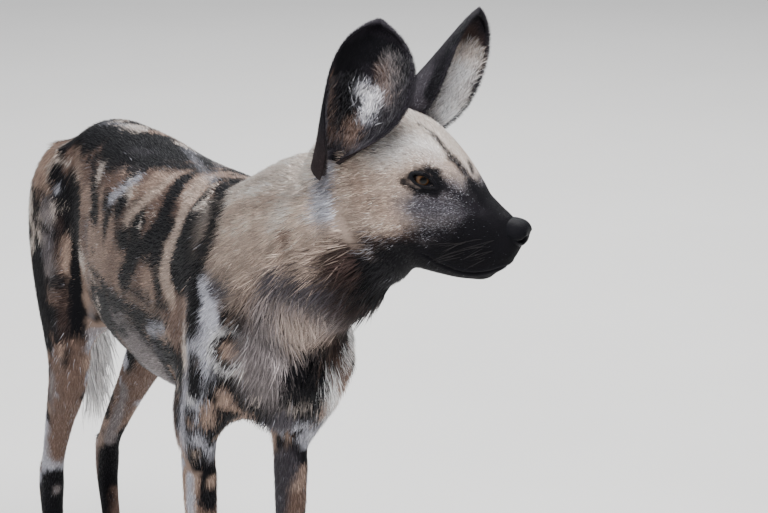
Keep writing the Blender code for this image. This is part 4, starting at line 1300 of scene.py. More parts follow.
@dataclass
class Zones:
    """Where each place lies on the dog, as shares that blend into one another."""

    points: np.ndarray

    def __post_init__(self) -> None:
        """Measures the places in the frames of the body and the head."""
        self.plain = self.points - np.array(OFFSET)
        self.local = in_head(self.points)
        behind = head_side(self.points)
        near = self.plain[:, 1] < -0.05
        self.head = np.where(near, 1 - smoothstep(-0.020, 0.020, behind), 0.0)
        x, y, z = self.plain.T
        neck_end = 0.857 * (y + 0.090) - 0.514 * (z - 0.600)
        self.neck = (1 - self.head) * (1 - smoothstep(-0.045, 0.045, neck_end))
        self.tail = smoothstep(0.552, 0.572, y + 0.15 * (z - 0.55)) * smoothstep(0.24, 0.27, z)
        self.tail *= smoothstep(0.030, 0.045, 0.075 - abs(x - 0.01))
        hind = smoothstep(0.28, 0.36, y)
        top = 0.43 + 0.07 * hind
        self.leg = (1 - smoothstep(top - 0.11, top, z)) * (1 - self.head)
        side = np.where(hind > 0.5, smoothstep(0.005, 0.03, abs(x)), smoothstep(0.02, 0.04, abs(x)))
        belly = (y > 0.07) & (y < 0.37)
        self.leg *= np.where(belly & (z > 0.36), 0, side)
        self.leg *= 1 - self.tail
        self.paw = 1 - smoothstep(0.050, 0.085, z)
        self.trunk = (1 - self.head) * (1 - self.neck) * (1 - self.leg) * (1 - self.tail)
        way = x - neck_way(y)
        middle = np.interp(y, (-0.266, -0.205, -0.11, 0.0), (0.690, 0.672, 0.615, 0.55))
        self.under = np.arctan2(-(z - middle), abs(way) + 1e-6)
        self.throat = self.neck * smoothstep(0.10, 0.75, self.under)
        self.throat *= 1 - smoothstep(-0.150, -0.100, y + 0.25 * (0.60 - z))

    def depth(self) -> np.ndarray:
        """How deep the skin lies under the coat's outer face.

        Returns:
            A depth for each place.
        """
        along = self.local[:, 1]
        face = 0.0006 + 0.0012 * smoothstep(0.02, 0.10, along) + 0.002 * smoothstep(0.12, 0.19, along)
        leg = 0.0016 + 0.0026 * smoothstep(0.12, 0.38, self.plain[:, 2])
        leg = np.where(self.paw > 0.01, leg * (1 - self.paw) + 0.0008 * self.paw, leg)
        total = self.head * face + self.leg * leg + 0.0055 * self.trunk
        return total + self.neck * (0.0075 - 0.003 * self.throat / np.maximum(self.neck, 1e-3))

    def length(self) -> np.ndarray:
        """How long the coat is.

        Returns:
            A length for each place.
        """
        along = self.local[:, 1]
        low = 1 - smoothstep(-0.05, 0.01, self.local[:, 2])
        face = 0.0030 + 0.0022 * smoothstep(0.03, 0.08, along) + 0.0035 * smoothstep(0.08, 0.13, along)
        face += (0.004 + 0.012 * low) * smoothstep(0.115, 0.180, along)
        leg = 0.0062 + 0.0075 * smoothstep(0.12, 0.38, self.plain[:, 2])
        leg = leg * (1 - self.paw) + 0.0042 * self.paw
        y = self.plain[:, 1]
        chest = 1 - smoothstep(-0.16, -0.04, y + 0.4 * (self.plain[:, 2] - 0.5))
        trunk = 0.0155 + 0.007 * chest
        neck = 0.023 + 0.018 * self.throat / np.maximum(self.neck, 1e-3)
        return self.head * face + self.leg * leg + self.trunk * trunk + self.neck * neck + 0.016 * self.tail

    def folded(self) -> np.ndarray:
        """The same places on the side that the photograph shows, in the model.

        Returns:
            A place for each place.
        """
        x, y, z = self.plain.T
        local = self.local.copy()
        local[:, 0] = -abs(local[:, 0])
        rotation = np.array(HEAD.to_3x3())
        on_head = local @ rotation.T + np.array(HEAD.translation)
        way = neck_way(y)
        way += 0.024 * smoothstep(0.56, 0.62, z) * smoothstep(-0.08, 0.02, y)
        off = x - way
        other = np.clip(off / 0.05, 0, 1)
        drift = np.stack(
            [
                0.010 * other * cloud(self.points, 12, 71),
                other * (0.035 * cloud(self.points, 9, 72) - 0.010),
                other * 0.030 * cloud(self.points, 10, 73),
            ],
            axis=1,
        )
        body = np.stack([way - abs(off), y, z], axis=1)
        for leg in FORELEGS:
            shift = FORELEGS[0].y - leg.y
            share = self.leg * (y < 0.25) * (x * leg.sign > 0)
            body[:, 1] += share * shift
            body[:, 0] += share * (leg.x - FORELEGS[0].x)
        for leg in HIND_LEGS:
            share = self.leg * (y > 0.25) * (x * leg.sign > 0)
            shift = np.interp(z, (0.10, 0.19, 0.385), (1, 1, 0)) * (HIND_LEGS[0].hock - leg.hock)
            shift += np.interp(z, (0.19, 0.385, 0.5), (0, 1, 0)) * (HIND_LEGS[0].stifle - leg.stifle)
            body[:, 1] += share * shift
            body[:, 0] += share * (leg.x - HIND_LEGS[0].x)
        body += drift + np.array(OFFSET)
        head = self.head[:, None] > 0.5
        return np.where(head, on_head, body)


FORELEGS = (Foreleg("right", x=0.062, y=-0.014), Foreleg("left", x=0.053, y=0.012))
HIND_LEGS = (
    HindLeg("right", x=0.074, stifle=0.385, hock=0.468, heel=0.195),
    HindLeg("left", x=0.033, stifle=0.435, hock=0.575, heel=0.182),
)
TAIL = TailCore()
LIE = Lie(body_flows() + leg_flows(list(FORELEGS), list(HIND_LEGS)) + head_flows())


def tone(colour: Coat) -> np.ndarray:
    """The colour as an array."""
    return np.array(colour.value)


def mixed(below: np.ndarray, colour: Coat, share: np.ndarray) -> np.ndarray:
    """The colours with a share of another laid over them."""
    return below + share[:, None] * (tone(colour) - below)


def ground_colours(zones: Zones) -> np.ndarray:
    """The coat's colours before the photograph's marks, all over the dog.

    Args:
        zones: the places.

    Returns:
        A colour for each place.
    """
    points = zones.points
    _, y, z = zones.plain.T
    blots = clouds(points, 17, 41) + 0.25 * cloud(points, 60, 42)
    pale = clouds(points, 20, 43) + 0.25 * cloud(points, 70, 44)
    body = np.tile(tone(Coat.BROWN), (len(points), 1))
    body = mixed(body, Coat.TAN, smoothstep(-0.1, 0.15, cloud(points, 24, 45)))
    body = mixed(body, Coat.BLACK, smoothstep(-0.04, 0.04, blots))
    body = mixed(body, Coat.CREAM, smoothstep(0.30, 0.36, pale) * smoothstep(0.40, 0.48, z))
    body = mixed(body, Coat.SILVER, smoothstep(0.22, 0.28, pale) * (1 - smoothstep(0.38, 0.46, z)))
    belly = (1 - smoothstep(0.395, 0.43, z)) * smoothstep(0.02, 0.10, y) * (1 - zones.leg)
    body = mixed(body, Coat.GREY, 0.8 * belly)
    neck = np.tile(tone(Coat.SAND), (len(points), 1))
    neck = mixed(neck, Coat.CREAM, smoothstep(0.1, 0.9, -zones.under))
    neck = mixed(neck, Coat.UMBER, smoothstep(0.55, 0.95, zones.under + 0.2 * cloud(points, 30, 46)))
    share = zones.neck[:, None]
    body = body * (1 - share) + neck * share
    body = mixed(body, Coat.BLACK, zones.paw * smoothstep(-0.5, 0.1, blots) * 0.8)
    ahead, up = zones.local[:, 1], zones.local[:, 2]
    aside = abs(zones.local[:, 0])
    face = np.tile(tone(Coat.SAND), (len(points), 1))
    face = mixed(face, Coat.CREAM, smoothstep(0.03, 0.08, up) * smoothstep(0.09, 0.13, ahead))
    grey = (1 - smoothstep(0.115, 0.150, ahead)) * (1 - smoothstep(0.03, 0.06, up))
    face = mixed(face, Coat.GREY, grey)
    face = mixed(face, Coat.BLACK, 1 - smoothstep(-0.045, -0.020, up - 0.15 * (ahead - 0.1)))
    face = mixed(face, Coat.BLACK, 1 - smoothstep(0.062, 0.088, ahead + 0.25 * up))
    line = 1 - smoothstep(0.0015, 0.0045, aside + 0.0008 * cloud(points, 300, 47))
    face = mixed(face, Coat.BLACK, line * smoothstep(0.165, 0.185, ahead) * (up > 0))
    share = zones.head[:, None]
    body = body * (1 - share) + face * share
    tail = np.tile(tone(Coat.WHITE), (len(points), 1))
    high = z + 0.010 * cloud(points, 60, 48)
    tail = mixed(tail, Coat.BLACK, smoothstep(0.455, 0.470, high))
    tail = mixed(tail, Coat.TAN, smoothstep(0.505, 0.520, high))
    share = zones.tail[:, None]
    return body * (1 - share) + tail * share


@dataclass
class CoatColours:
    """The colours of the coat anywhere on the body, ground and marks together."""

    painter: Painter

    def at(self, points: np.ndarray) -> np.ndarray:
        """The colours at places on the skin."""
        zones = Zones(points)
        return self.painter.paint(points, zones.folded(), ground_colours(zones))


# Rectangles of the unwrap, as (left, bottom, right, top)
CHARTS = {
    "trunk": (0.01, 0.01, 0.62, 0.49),
    "head": (0.01, 0.52, 0.44, 0.99),
    "tail": (0.64, 0.01, 0.78, 0.49),
    "foreleg_right": (0.46, 0.52, 0.58, 0.99),
    "foreleg_left": (0.60, 0.52, 0.71, 0.99),
    "hind_leg_right": (0.73, 0.52, 0.85, 0.99),
    "hind_leg_left": (0.87, 0.52, 0.99, 0.99),
    "ear_right": (0.80, 0.01, 0.99, 0.24),
    "ear_left": (0.80, 0.26, 0.99, 0.49),
}


@dataclass
class Unwrap:
    """The unwrap of the skin's own shape: each part rolled flat into its own rectangle."""

    points: np.ndarray

    def charts(self) -> np.ndarray:
        """The name of the chart that each place lies on.

        Returns:
            The names.
        """
        zones = Zones(self.points)
        x, y = zones.plain[:, 0], zones.plain[:, 1]
        names = np.full(len(self.points), "trunk", dtype=object)
        names[zones.head > 0.5] = "head"
        names[zones.tail > 0.5] = "tail"
        leg = zones.leg > 0.3
        fore = y < 0.25
        names[leg & fore & (x < 0)] = "foreleg_right"
        names[leg & fore & (x >= 0)] = "foreleg_left"
        names[leg & ~fore & (x < 0)] = "hind_leg_right"
        names[leg & ~fore & (x >= 0)] = "hind_leg_left"
        return names

    def rolled(self, chart: str, points: np.ndarray) -> np.ndarray:
        """Places as (along, round), both from 0 to 1, on one chart.

        Args:
            chart: the chart's name.
            points: places in the model.

        Returns:
            Two numbers a row.
        """
        x, y, z = (points - np.array(OFFSET)).T
        if chart == "head":
            local = in_head(points)
            along = (local[:, 1] + 0.02) / 0.26
            turn = np.arctan2(local[:, 0], local[:, 2] - 0.005)
        elif chart == "trunk":
            along = (y + 0.30) / 0.88
            middle = np.interp(y, (-0.266, -0.16, -0.05, 0.1), (0.690, 0.65, 0.58, 0.54))
            way = neck_way(y)
            turn = np.arctan2(x - way, z - middle)
        elif chart == "tail":
            along = (z - 0.24) / 0.36
            turn = np.arctan2(x - 0.012, y - 0.595)
        else:
            kind, side = chart.rsplit("_", 1)
            legs = FORELEGS if kind == "foreleg" else HIND_LEGS
            leg = next(one for one in legs if one.side == side)
            along = z / 0.52
            turn = np.arctan2(x - leg.sign * leg.x, y - leg.middle_at(z))
        return np.stack([np.clip(along, 0, 1), 0.5 + turn / (2 * math.pi)], axis=1)

    def placed(self, chart: str, rolled: np.ndarray) -> np.ndarray:
        """Rolled places in the chart's rectangle.

        Args:
            chart: the chart's name.
            rolled: two numbers a row, from 0 to 1.

        Returns:
            Places on the unwrap.
        """
        left, bottom, right, top = CHARTS[chart]
        corner = np.array([left, bottom])
        return corner + rolled * np.array([right - left, top - bottom])

    def at(self) -> np.ndarray:
        """Where each place lies on the unwrap.

        Returns:
            Two numbers a row, from 0 to 1.
        """
        names = self.charts()
        found = np.zeros((len(self.points), 2))
        for chart in CHARTS:
            chosen = names == chart
            if chosen.any():
                rolled = self.rolled(chart, self.points[chosen])
                found[chosen] = self.placed(chart, rolled)
        return found


def unwrap_faces(mesh: bpy.types.Mesh) -> None:
    """Gives a skin mesh the unwrap, with no face laid across a chart's edge.

    Args:
        mesh: the mesh.
    """
    places = places_of(mesh)
    corners = np.empty(len(mesh.loops), dtype=np.int32)
    mesh.loops.foreach_get("vertex_index", corners)
    starts = np.empty(len(mesh.polygons), dtype=np.int32)
    totals = np.empty(len(mesh.polygons), dtype=np.int32)
    mesh.polygons.foreach_get("loop_start", starts)
    mesh.polygons.foreach_get("loop_total", totals)
    face_of = np.repeat(np.arange(len(starts)), totals)
    at_corner = places[corners]
    centres = np.add.reduceat(at_corner, starts) / totals[:, None]
    names = Unwrap(centres).charts()[face_of]
    found = np.zeros((len(corners), 2))
    unwrap = Unwrap(centres)
    for chart in CHARTS:
        chosen = names == chart
        if chosen.any():
            rolled = unwrap.rolled(chart, at_corner[chosen])
            middle = unwrap.rolled(chart, centres[face_of[chosen]])
            gap = rolled[:, 1] - middle[:, 1]
            rolled[:, 1] = np.clip(rolled[:, 1] - np.round(gap), 0, 1)
            found[chosen] = unwrap.placed(chart, rolled)
    layer = mesh.uv_layers.new(name="OFBake")
    layer.data.foreach_set("uv", found.astype(np.float32).ravel())


def smooth_faces(mesh: bpy.types.Mesh) -> None:
    """Shades the mesh's faces smooth."""
    mesh.polygons.foreach_set("use_smooth", np.ones(len(mesh.polygons), dtype=bool))


def set_colours(mesh: bpy.types.Mesh, colours: np.ndarray) -> None:
    """Stores a colour for each vertex under the name coat.

    Args:
        mesh: the mesh.
        colours: a colour for each vertex.
    """
    layer = mesh.color_attributes.new("coat", "FLOAT_COLOR", "POINT")
    full = np.ones((len(colours), 4), dtype=np.float32)
    full[:, :3] = np.clip(colours, 0, 1)
    layer.data.foreach_set("color", full.ravel())


def mesh_object(
    name: str,
    places: np.ndarray,
    triangles: np.ndarray,
    colours: np.ndarray,
    unwrap: np.ndarray,
    material: bpy.types.Material,
) -> bpy.types.Object:
    """An object made of triangles.

    Args:
        name: its name.
        places: its vertices.
        triangles: three vertex numbers a row.
        colours: a colour for each vertex.
        unwrap: a place on the unwrap for each vertex.
        material: its finish.

    Returns:
        The object, in the scene.
    """
    mesh = bpy.data.meshes.new(name)
    mesh.vertices.add(len(places))
    mesh.loops.add(3 * len(triangles))
    mesh.polygons.add(len(triangles))
    mesh.vertices.foreach_set("co", places.astype(np.float32).ravel())
    mesh.loops.foreach_set("vertex_index", triangles.astype(np.int32).ravel())
    mesh.polygons.foreach_set("loop_start", np.arange(0, 3 * len(triangles), 3, dtype=np.int32))
    smooth_faces(mesh)
    mesh.update(calc_edges=True)
    mesh.validate()
    set_colours(mesh, colours)
    layer = mesh.uv_layers.new(name="OFBake")
    layer.data.foreach_set("uv", unwrap[triangles.ravel()].astype(np.float32).ravel())
    mesh.materials.append(material)
    made = bpy.data.objects.new(name, mesh)
    bpy.context.scene.collection.objects.link(made)
    return made


def coat_group() -> bpy.types.NodeTree:
    """The shader group that reads the coat's colour and gives it grain, built once.

    Returns:
        The group.
    """
    name = "coat_grain"
    if name in bpy.data.node_groups:
        return bpy.data.node_groups[name]
    tree = bpy.data.node_groups.new(name, "ShaderNodeTree")
    sockets = tree.interface
    sockets.new_socket("Scale", in_out="INPUT", socket_type="NodeSocketFloat")
    sockets.new_socket("Contrast", in_out="INPUT", socket_type="NodeSocketFloat")
    sockets.new_socket("Color", in_out="OUTPUT", socket_type="NodeSocketColor")
    sockets.new_socket("Height", in_out="OUTPUT", socket_type="NodeSocketFloat")
    nodes, links = tree.nodes, tree.links
    given = nodes.new("NodeGroupInput")
    put_out = nodes.new("NodeGroupOutput")
    colour = nodes.new("ShaderNodeAttribute")
    colour.attribute_name = "coat"
    where = nodes.new("ShaderNodeTexCoord")
    noise = nodes.new("ShaderNodeTexNoise")
    noise.inputs["Detail"].default_value = 3
    noise.inputs["Roughness"].default_value = 0.65
    centred = nodes.new("ShaderNodeMath")
    centred.operation = "SUBTRACT"
    centred.inputs[1].default_value = 0.5
    scaled = nodes.new("ShaderNodeMath")
    scaled.operation = "MULTIPLY_ADD"
    scaled.inputs[2].default_value = 1.0
    tinted = nodes.new("ShaderNodeVectorMath")
    tinted.operation = "SCALE"
    links.new(where.outputs["Object"], noise.inputs["Vector"])
    links.new(given.outputs["Scale"], noise.inputs["Scale"])
    links.new(noise.outputs["Fac"], centred.inputs[0])
    links.new(centred.outputs[0], scaled.inputs[0])
    links.new(given.outputs["Contrast"], scaled.inputs[1])
    links.new(colour.outputs["Color"], tinted.inputs[0])
    links.new(scaled.outputs[0], tinted.inputs["Scale"])
    links.new(tinted.outputs["Vector"], put_out.inputs["Color"])
    links.new(noise.outputs["Fac"], put_out.inputs["Height"])
    return tree


@dataclass(frozen=True)
class CoatFinish:
    """Skin or hair that takes its colour from the coat's own map."""

    name: str
    scale: float = 700.0
    contrast: float = 0.9
    roughness: float = 0.6
    bump: float = 0.0
    specular: float = 0.5

    def material(self) -> bpy.types.Material:
        """The material, made once.

        Returns:
            The material.
        """
        if self.name in bpy.data.materials:
            return bpy.data.materials[self.name]
        made = bpy.data.materials.new(self.name)
        made.use_nodes = True
        nodes, links = made.node_tree.nodes, made.node_tree.links
        shader = nodes["Principled BSDF"]
        shader.inputs["Roughness"].default_value = self.roughness
        shader.inputs["Specular IOR Level"].default_value = self.specular
        grain = nodes.new("ShaderNodeGroup")
        grain.node_tree = coat_group()
        grain.inputs["Scale"].default_value = self.scale
        grain.inputs["Contrast"].default_value = self.contrast
        links.new(grain.outputs["Color"], shader.inputs["Base Color"])
        if self.bump:
            bump = nodes.new("ShaderNodeBump")
            bump.inputs["Strength"].default_value = 1.0
            bump.inputs["Distance"].default_value = self.bump
            links.new(grain.outputs["Height"], bump.inputs["Height"])
            links.new(bump.outputs["Normal"], shader.inputs["Normal"])
        return made


SKIN_FINISH = CoatFinish(
    "short_coat_skin", scale=900, contrast=0.8, roughness=0.8, bump=0.0012, specular=0.1
)
HAIR_FINISH = CoatFinish("coat_hair", scale=1500, contrast=0.5, roughness=0.5, specular=0.16)
BARE_FINISH = CoatFinish(
    "bare_black_skin", scale=1600, contrast=0.4, roughness=0.42, bump=0.0004, specular=0.12
)
NOSE_FINISH = CoatFinish("wet_nose", scale=1100, contrast=0.4, roughness=0.44, bump=0.0008, specular=0.05)
CLAW_FINISH = CoatFinish("claw_horn", scale=600, contrast=0.6, roughness=0.35, bump=0.0002)


def finished(made: bpy.types.Object, finish: CoatFinish, colour: np.ndarray) -> bpy.types.Object:
    """Smooths, colours and unwraps a bare piece, gives it its finish and attaches it to the root.

    Args:
        made: the piece.
        finish: its finish.
        colour: its one colour, which the finish varies.

    Returns:
        The piece.
    """
    mesh = made.data
    smooth_faces(mesh)
    set_colours(mesh, np.tile(colour, (len(mesh.vertices), 1)))
    unwrap_faces(mesh)
    mesh.materials.append(finish.material())
    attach(made, "root")
    return made


@dataclass
class Skin:
    """The dog's skin in one piece, under the coat by the coat's depth."""

    voxel: float = 0.004
    fill: float = 0.016
    # Painted shade: the share of the coat's colour that the skin keeps where it shows between the tufts.
    painted_shade: float = 0.62

    def build(self) -> bpy.types.Object:
        """Fuses the parts, sinks them by the coat's depth and shapes the face.

        Returns:
            The skin.
        """
        bm = bmesh.new()
        for part in (Trunk(), *FORELEGS, *HIND_LEGS, Skull()):
            part.build(bm)
        skin = mesh_from(bm, "skin")
        remeshed(skin, self.voxel)
        self.push(skin, self.fill)
        remeshed(skin, self.voxel)
        self.push(skin, -self.fill)
        self.join_tail(skin)
        places = places_of(skin.data)
        depth = Zones(places).depth()
        place_vertices(skin.data, places - normals_of(skin.data) * depth[:, None])
        self.refine_head(skin)
        self.shape_face(skin)
        smooth_faces(skin.data)
        return skin

    def push(self, skin: bpy.types.Object, distance: float) -> None:
        """Moves the trunk's surface out, or in, and smooths it once it is back.

        Args:
            skin: the skin.
            distance: how far out, or below zero how far in.
        """
        places = places_of(skin.data)
        move = trunk_share(places)[:, None] * distance
        places = places + normals_of(skin.data) * move
        if distance < 0:
            places = smoothed(skin.data, places, 5, np.ones(len(places)))
            places = smoothed(skin.data, places, 30, trunk_share(places))
        place_vertices(skin.data, places)

    def join_tail(self, skin: bpy.types.Object) -> None:
        """Fuses the tail's core to the croup.

        Args:
            skin: the skin.
        """
        bm = bmesh.new()
        bm.from_mesh(skin.data)
        TAIL.build(bm)
        bmesh.ops.recalc_face_normals(bm, faces=bm.faces)
        bm.to_mesh(skin.data)
        bm.free()
        remeshed(skin, 0.0037)
        places = places_of(skin.data)
        place_vertices(skin.data, smoothed(skin.data, places, 3, np.ones(len(places))))

    def refine_head(self, skin: bpy.types.Object) -> None:
        """Makes the head's mesh finer, and smooth again.

        Args:
            skin: the skin.
        """
        bm = bmesh.new()
        bm.from_mesh(skin.data)
        places = places_of(skin.data)
        ahead = (head_side(places) < 0.0) & (places[:, 1] < BEHIND_HEAD)
        bm.verts.ensure_lookup_table()
        edges = [e for e in bm.edges if ahead[e.verts[0].index] and ahead[e.verts[1].index]]
        bmesh.ops.subdivide_edges(bm, edges=edges, cuts=2, use_grid_fill=True)
        bm.to_mesh(skin.data)
        bm.free()
        places = places_of(skin.data)
        weight = 1 - smoothstep(-0.006, 0.0, head_side(places))
        weight *= places[:, 1] < BEHIND_HEAD
        place_vertices(skin.data, smoothed(skin.data, places, 14, weight))

    def shape_face(self, skin: bpy.types.Object) -> None:
        """Sinks the eyes' openings and the line of the mouth into the face.

        Args:
            skin: the skin.
        """
        places = places_of(skin.data)
        outs = normals_of(skin.data)
        local = in_head(places)
        head = local[:, 1] < 0.13
        head &= places[:, 1] < BEHIND_HEAD
        gap = local[:, 2] - MOUTH.height_at(local[:, 1])
        reach = 1 - smoothstep(0.088, 0.098, local[:, 1])
        reach *= head
        groove = -0.0026 * np.exp(-((gap / 0.0011) ** 2))
        lip = 0.0010 * np.exp(-(((gap - 0.0036) / 0.0024) ** 2))
        lip += 0.0006 * np.exp(-(((gap + 0.0034) / 0.0022) ** 2))
        furrow = -0.0010 * np.exp(-((local[:, 0] / 0.0014) ** 2))
        furrow *= (1 - smoothstep(0.018, 0.030, local[:, 1])) * smoothstep(-0.042, -0.036, local[:, 2])
        furrow *= 1 - smoothstep(-0.018, -0.012, local[:, 2])
        bridge = 0.0034 * np.exp(-(((local[:, 1] - 0.027) / 0.016) ** 2))
        bridge *= head * smoothstep(-0.014, 0.010, local[:, 2])
        places += outs * (reach * (groove + lip) + head * furrow + bridge)[:, None]
        for eye in EYES:
            share = 1 - smoothstep(0.88, 1.08, eye.openness(places))
            middle = np.array(eye.frame().translation)
            away = places - middle
            size = np.linalg.norm(away, axis=1)[:, None]
            inner = middle + away / size * 0.0088
            places += share[:, None] * (inner - places)
        places[:, 2] = np.maximum(places[:, 2], 0.0)
        place_vertices(skin.data, places)

    def dress(self, skin: bpy.types.Object, colours: CoatColours) -> None:
        """Colours the skin, darkened as painted shade under the coat, unwraps it and lets it stand for the
        solids of flesh.

        Args:
            skin: the skin.
            colours: the coat's colours.
        """
        places = places_of(skin.data)
        # Painted shade: the skin under the tufts takes the coat's colours darkened by this share.
        found = colours.at(places) * self.painted_shade
        for eye in EYES:
            share = 1 - smoothstep(1.15, 1.5, eye.openness(places))
            found = mixed(found, Coat.BLACK, share)
        local = in_head(places)
        gap = abs(local[:, 2] - MOUTH.height_at(local[:, 1]))
        lips = (1 - smoothstep(0.004, 0.006, gap)) * (local[:, 1] < 0.10)
        found = mixed(found, Coat.BLACK, lips * (places[:, 1] < BEHIND_HEAD))
        set_colours(skin.data, found)
        unwrap_faces(skin.data)
        skin.data.materials.append(SKIN_FINISH.material())
        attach(skin, "root")
        flesh = ["head", "neck", "torso", "tail"]
        for side in SIDES:
            flesh += [f"foreleg_{side}", f"hind_leg_{side}", f"fore_paw_{side}", f"hind_paw_{side}"]
        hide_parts(*flesh)


@dataclass
class Roots:
    """Where the hairs of a layer grow: places, normals, lies and unwrap."""

    places: np.ndarray
    outs: np.ndarray
    lies: np.ndarray
    unwrap: np.ndarray


@dataclass
class TuftStyle:
    """How the tufts of a layer are shaped, each value for one tuft or for all."""

    length: np.ndarray
    width: np.ndarray
    lift: np.ndarray
    curl: np.ndarray
    stray: float = 0.15
    rings: int = 1
    droop: float = 0.0
    sink: float = 0.0012
    # The next two shares paint shade at each tuft's root and light towards its tip.
    root_shade: float = 0.55
    tip_light: float = 1.20
    varied: float = 0.13

    def part(self, chosen: np.ndarray) -> "TuftStyle":
        """The style of the chosen tufts alone.

        Args:
            chosen: the tufts' numbers.

        Returns:
            The style.
        """
        return replace(
            self,
            length=self.length[chosen],
            width=self.width[chosen],
            lift=self.lift[chosen],
            curl=self.curl[chosen],
        )


def tuft_mesh(
    name: str,
    roots: Roots,
    style: TuftStyle,
    colours: np.ndarray,
    chance: np.random.Generator,
    finish: CoatFinish = HAIR_FINISH,
) -> bpy.types.Object:
    """One mesh of many closed, tapered tufts.

    Args:
        name: the piece's name.
        roots: where the tufts grow.
        style: how they are shaped.
        colours: a colour for each tuft.
        chance: gives the small differences.
        finish: their finish.

    Returns:
        The object.
    """
    count = len(roots.places)
    rings = style.rings
    across = np.cross(roots.outs, roots.lies)
    stray = chance.normal(0, style.stray, count)[:, None]
    lies = roots.lies * np.cos(stray) + across * np.sin(stray)
    across = np.cross(roots.outs, lies)
    length = np.broadcast_to(style.length, count) * chance.uniform(0.78, 1.18, count)
    width = np.broadcast_to(style.width, count) * chance.uniform(0.75, 1.25, count)
    lift = np.broadcast_to(style.lift, count) * chance.uniform(0.45, 1.5, count)
    curl = np.broadcast_to(style.curl, count) * chance.normal(0, 1, count)
    size = 3 * rings + 1
    places = np.empty((count, size, 3))
    shades = np.empty((count, size))
    fall = np.array([0, 0, -1.0]) * style.droop
    for k in range(rings + 1):
        share = k / rings if rings > 1 else float(k)
        rise = lift * share**1.25 - 0.35 * lift * share**3
        centre = roots.places + lies * (length * share)[:, None]
        centre += roots.outs * (length * rise - style.sink * (1 - share) ** 2)[:, None]
        centre += across * (curl * length * share**2)[:, None]
        centre += fall * (length * share**2)[:, None]
        # Painted shade at the root, turning to painted light towards the tip.
        shade_here = style.root_shade + (style.tip_light - style.root_shade) * min(1.0, share * 1.3)
        if k == rings:
            places[:, -1] = centre
            shades[:, -1] = shade_here
            continue
        taper = (0.75, 1.0, 0.8)[k] if rings > 1 else 1.0
        half = (0.5 * width * taper)[:, None]
        places[:, 3 * k] = centre - across * half
        places[:, 3 * k + 1] = centre + across * half
        top = centre + roots.outs * (0.8 * half)
        if rings == 1:
            top = top + lies * (0.28 * length)[:, None] + roots.outs * (0.22 * length * lift)[:, None]
        places[:, 3 * k + 2] = top
        shades[:, 3 * k : 3 * k + 3] = shade_here
        if rings == 1:
            shades[:, 2] = 0.5 * (style.root_shade + style.tip_light)
    faces = [(0, 1, 2)]
    for k in range(rings - 1):
        low, high = 3 * k, 3 * k + 3
        for i in range(3):
            j = (i + 1) % 3
            faces += [(low + i, high + j, low + j), (low + i, high + i, high + j)]
    last = 3 * (rings - 1)
    for i in range(3):
        faces.append((last + i, size - 1, last + (i + 1) % 3))
    faces = np.array(faces)[:, ::-1]
    triangles = (faces[None] + size * np.arange(count)[:, None, None]).reshape(-1, 3)
    places[:, :, 2] = np.maximum(places[:, :, 2], FLOOR_GAP)
    per_tuft = np.exp(chance.normal(0, style.varied, count))[:, None]
    full = colours[:, None, :] * (shades * per_tuft)[:, :, None]
    patch = chance.uniform(-0.0015, 0.0015, (count, size, 2))
    spread = roots.unwrap[:, None, :] + patch
    return mesh_object(
        name,
        places.reshape(-1, 3),
        triangles,
        full.reshape(-1, 3),
        spread.reshape(-1, 2),
        finish.material(),
    )


@dataclass
class Ground:
    """A surface on which tufts grow, as triangles with their normals."""

    corners: np.ndarray
    outs: np.ndarray
    areas: np.ndarray

    @classmethod
    def of(cls, skin: bpy.types.Object) -> "Ground":
        """The ground of a mesh object.

        Args:
            skin: the mesh object.

        Returns:
            The ground.
        """
        mesh = skin.data
        mesh.calc_loop_triangles()
        numbers = np.empty(3 * len(mesh.loop_triangles), dtype=np.int32)
        mesh.loop_triangles.foreach_get("vertices", numbers)
        numbers = numbers.reshape(-1, 3)
        corners = places_of(mesh)[numbers]
        outs = normals_of(mesh)[numbers]
        sides = np.cross(corners[:, 1] - corners[:, 0], corners[:, 2] - corners[:, 0])
        return cls(corners, outs, 0.5 * np.linalg.norm(sides, axis=1))

    def part(self, chosen: np.ndarray) -> "Ground":
        """The chosen triangles alone."""
        return Ground(self.corners[chosen], self.outs[chosen], self.areas[chosen])

    def sample(self, density: np.ndarray, chance: np.random.Generator) -> tuple:
        """Random places on the ground.

        Args:
            density: places wanted for each square metre, by triangle.
            chance: draws them.

        Returns:
            The places and the normals there.
        """
        wanted = np.cumsum(self.areas * density)
        count = int(wanted[-1])
        drawn = (np.arange(count) + chance.uniform(0, 1, count)) * wanted[-1] / count
        index = np.minimum(np.searchsorted(wanted, drawn), len(wanted) - 1)
        first = np.sqrt(chance.uniform(0, 1, count))
        second = chance.uniform(0, 1, count)
        parts = np.stack([1 - first, first * (1 - second), first * second], axis=1)[:, :, None]
        places = np.sum(self.corners[index] * parts, axis=1)
        outs = np.sum(self.outs[index] * parts, axis=1)
        return places, outs / np.linalg.norm(outs, axis=1)[:, None]


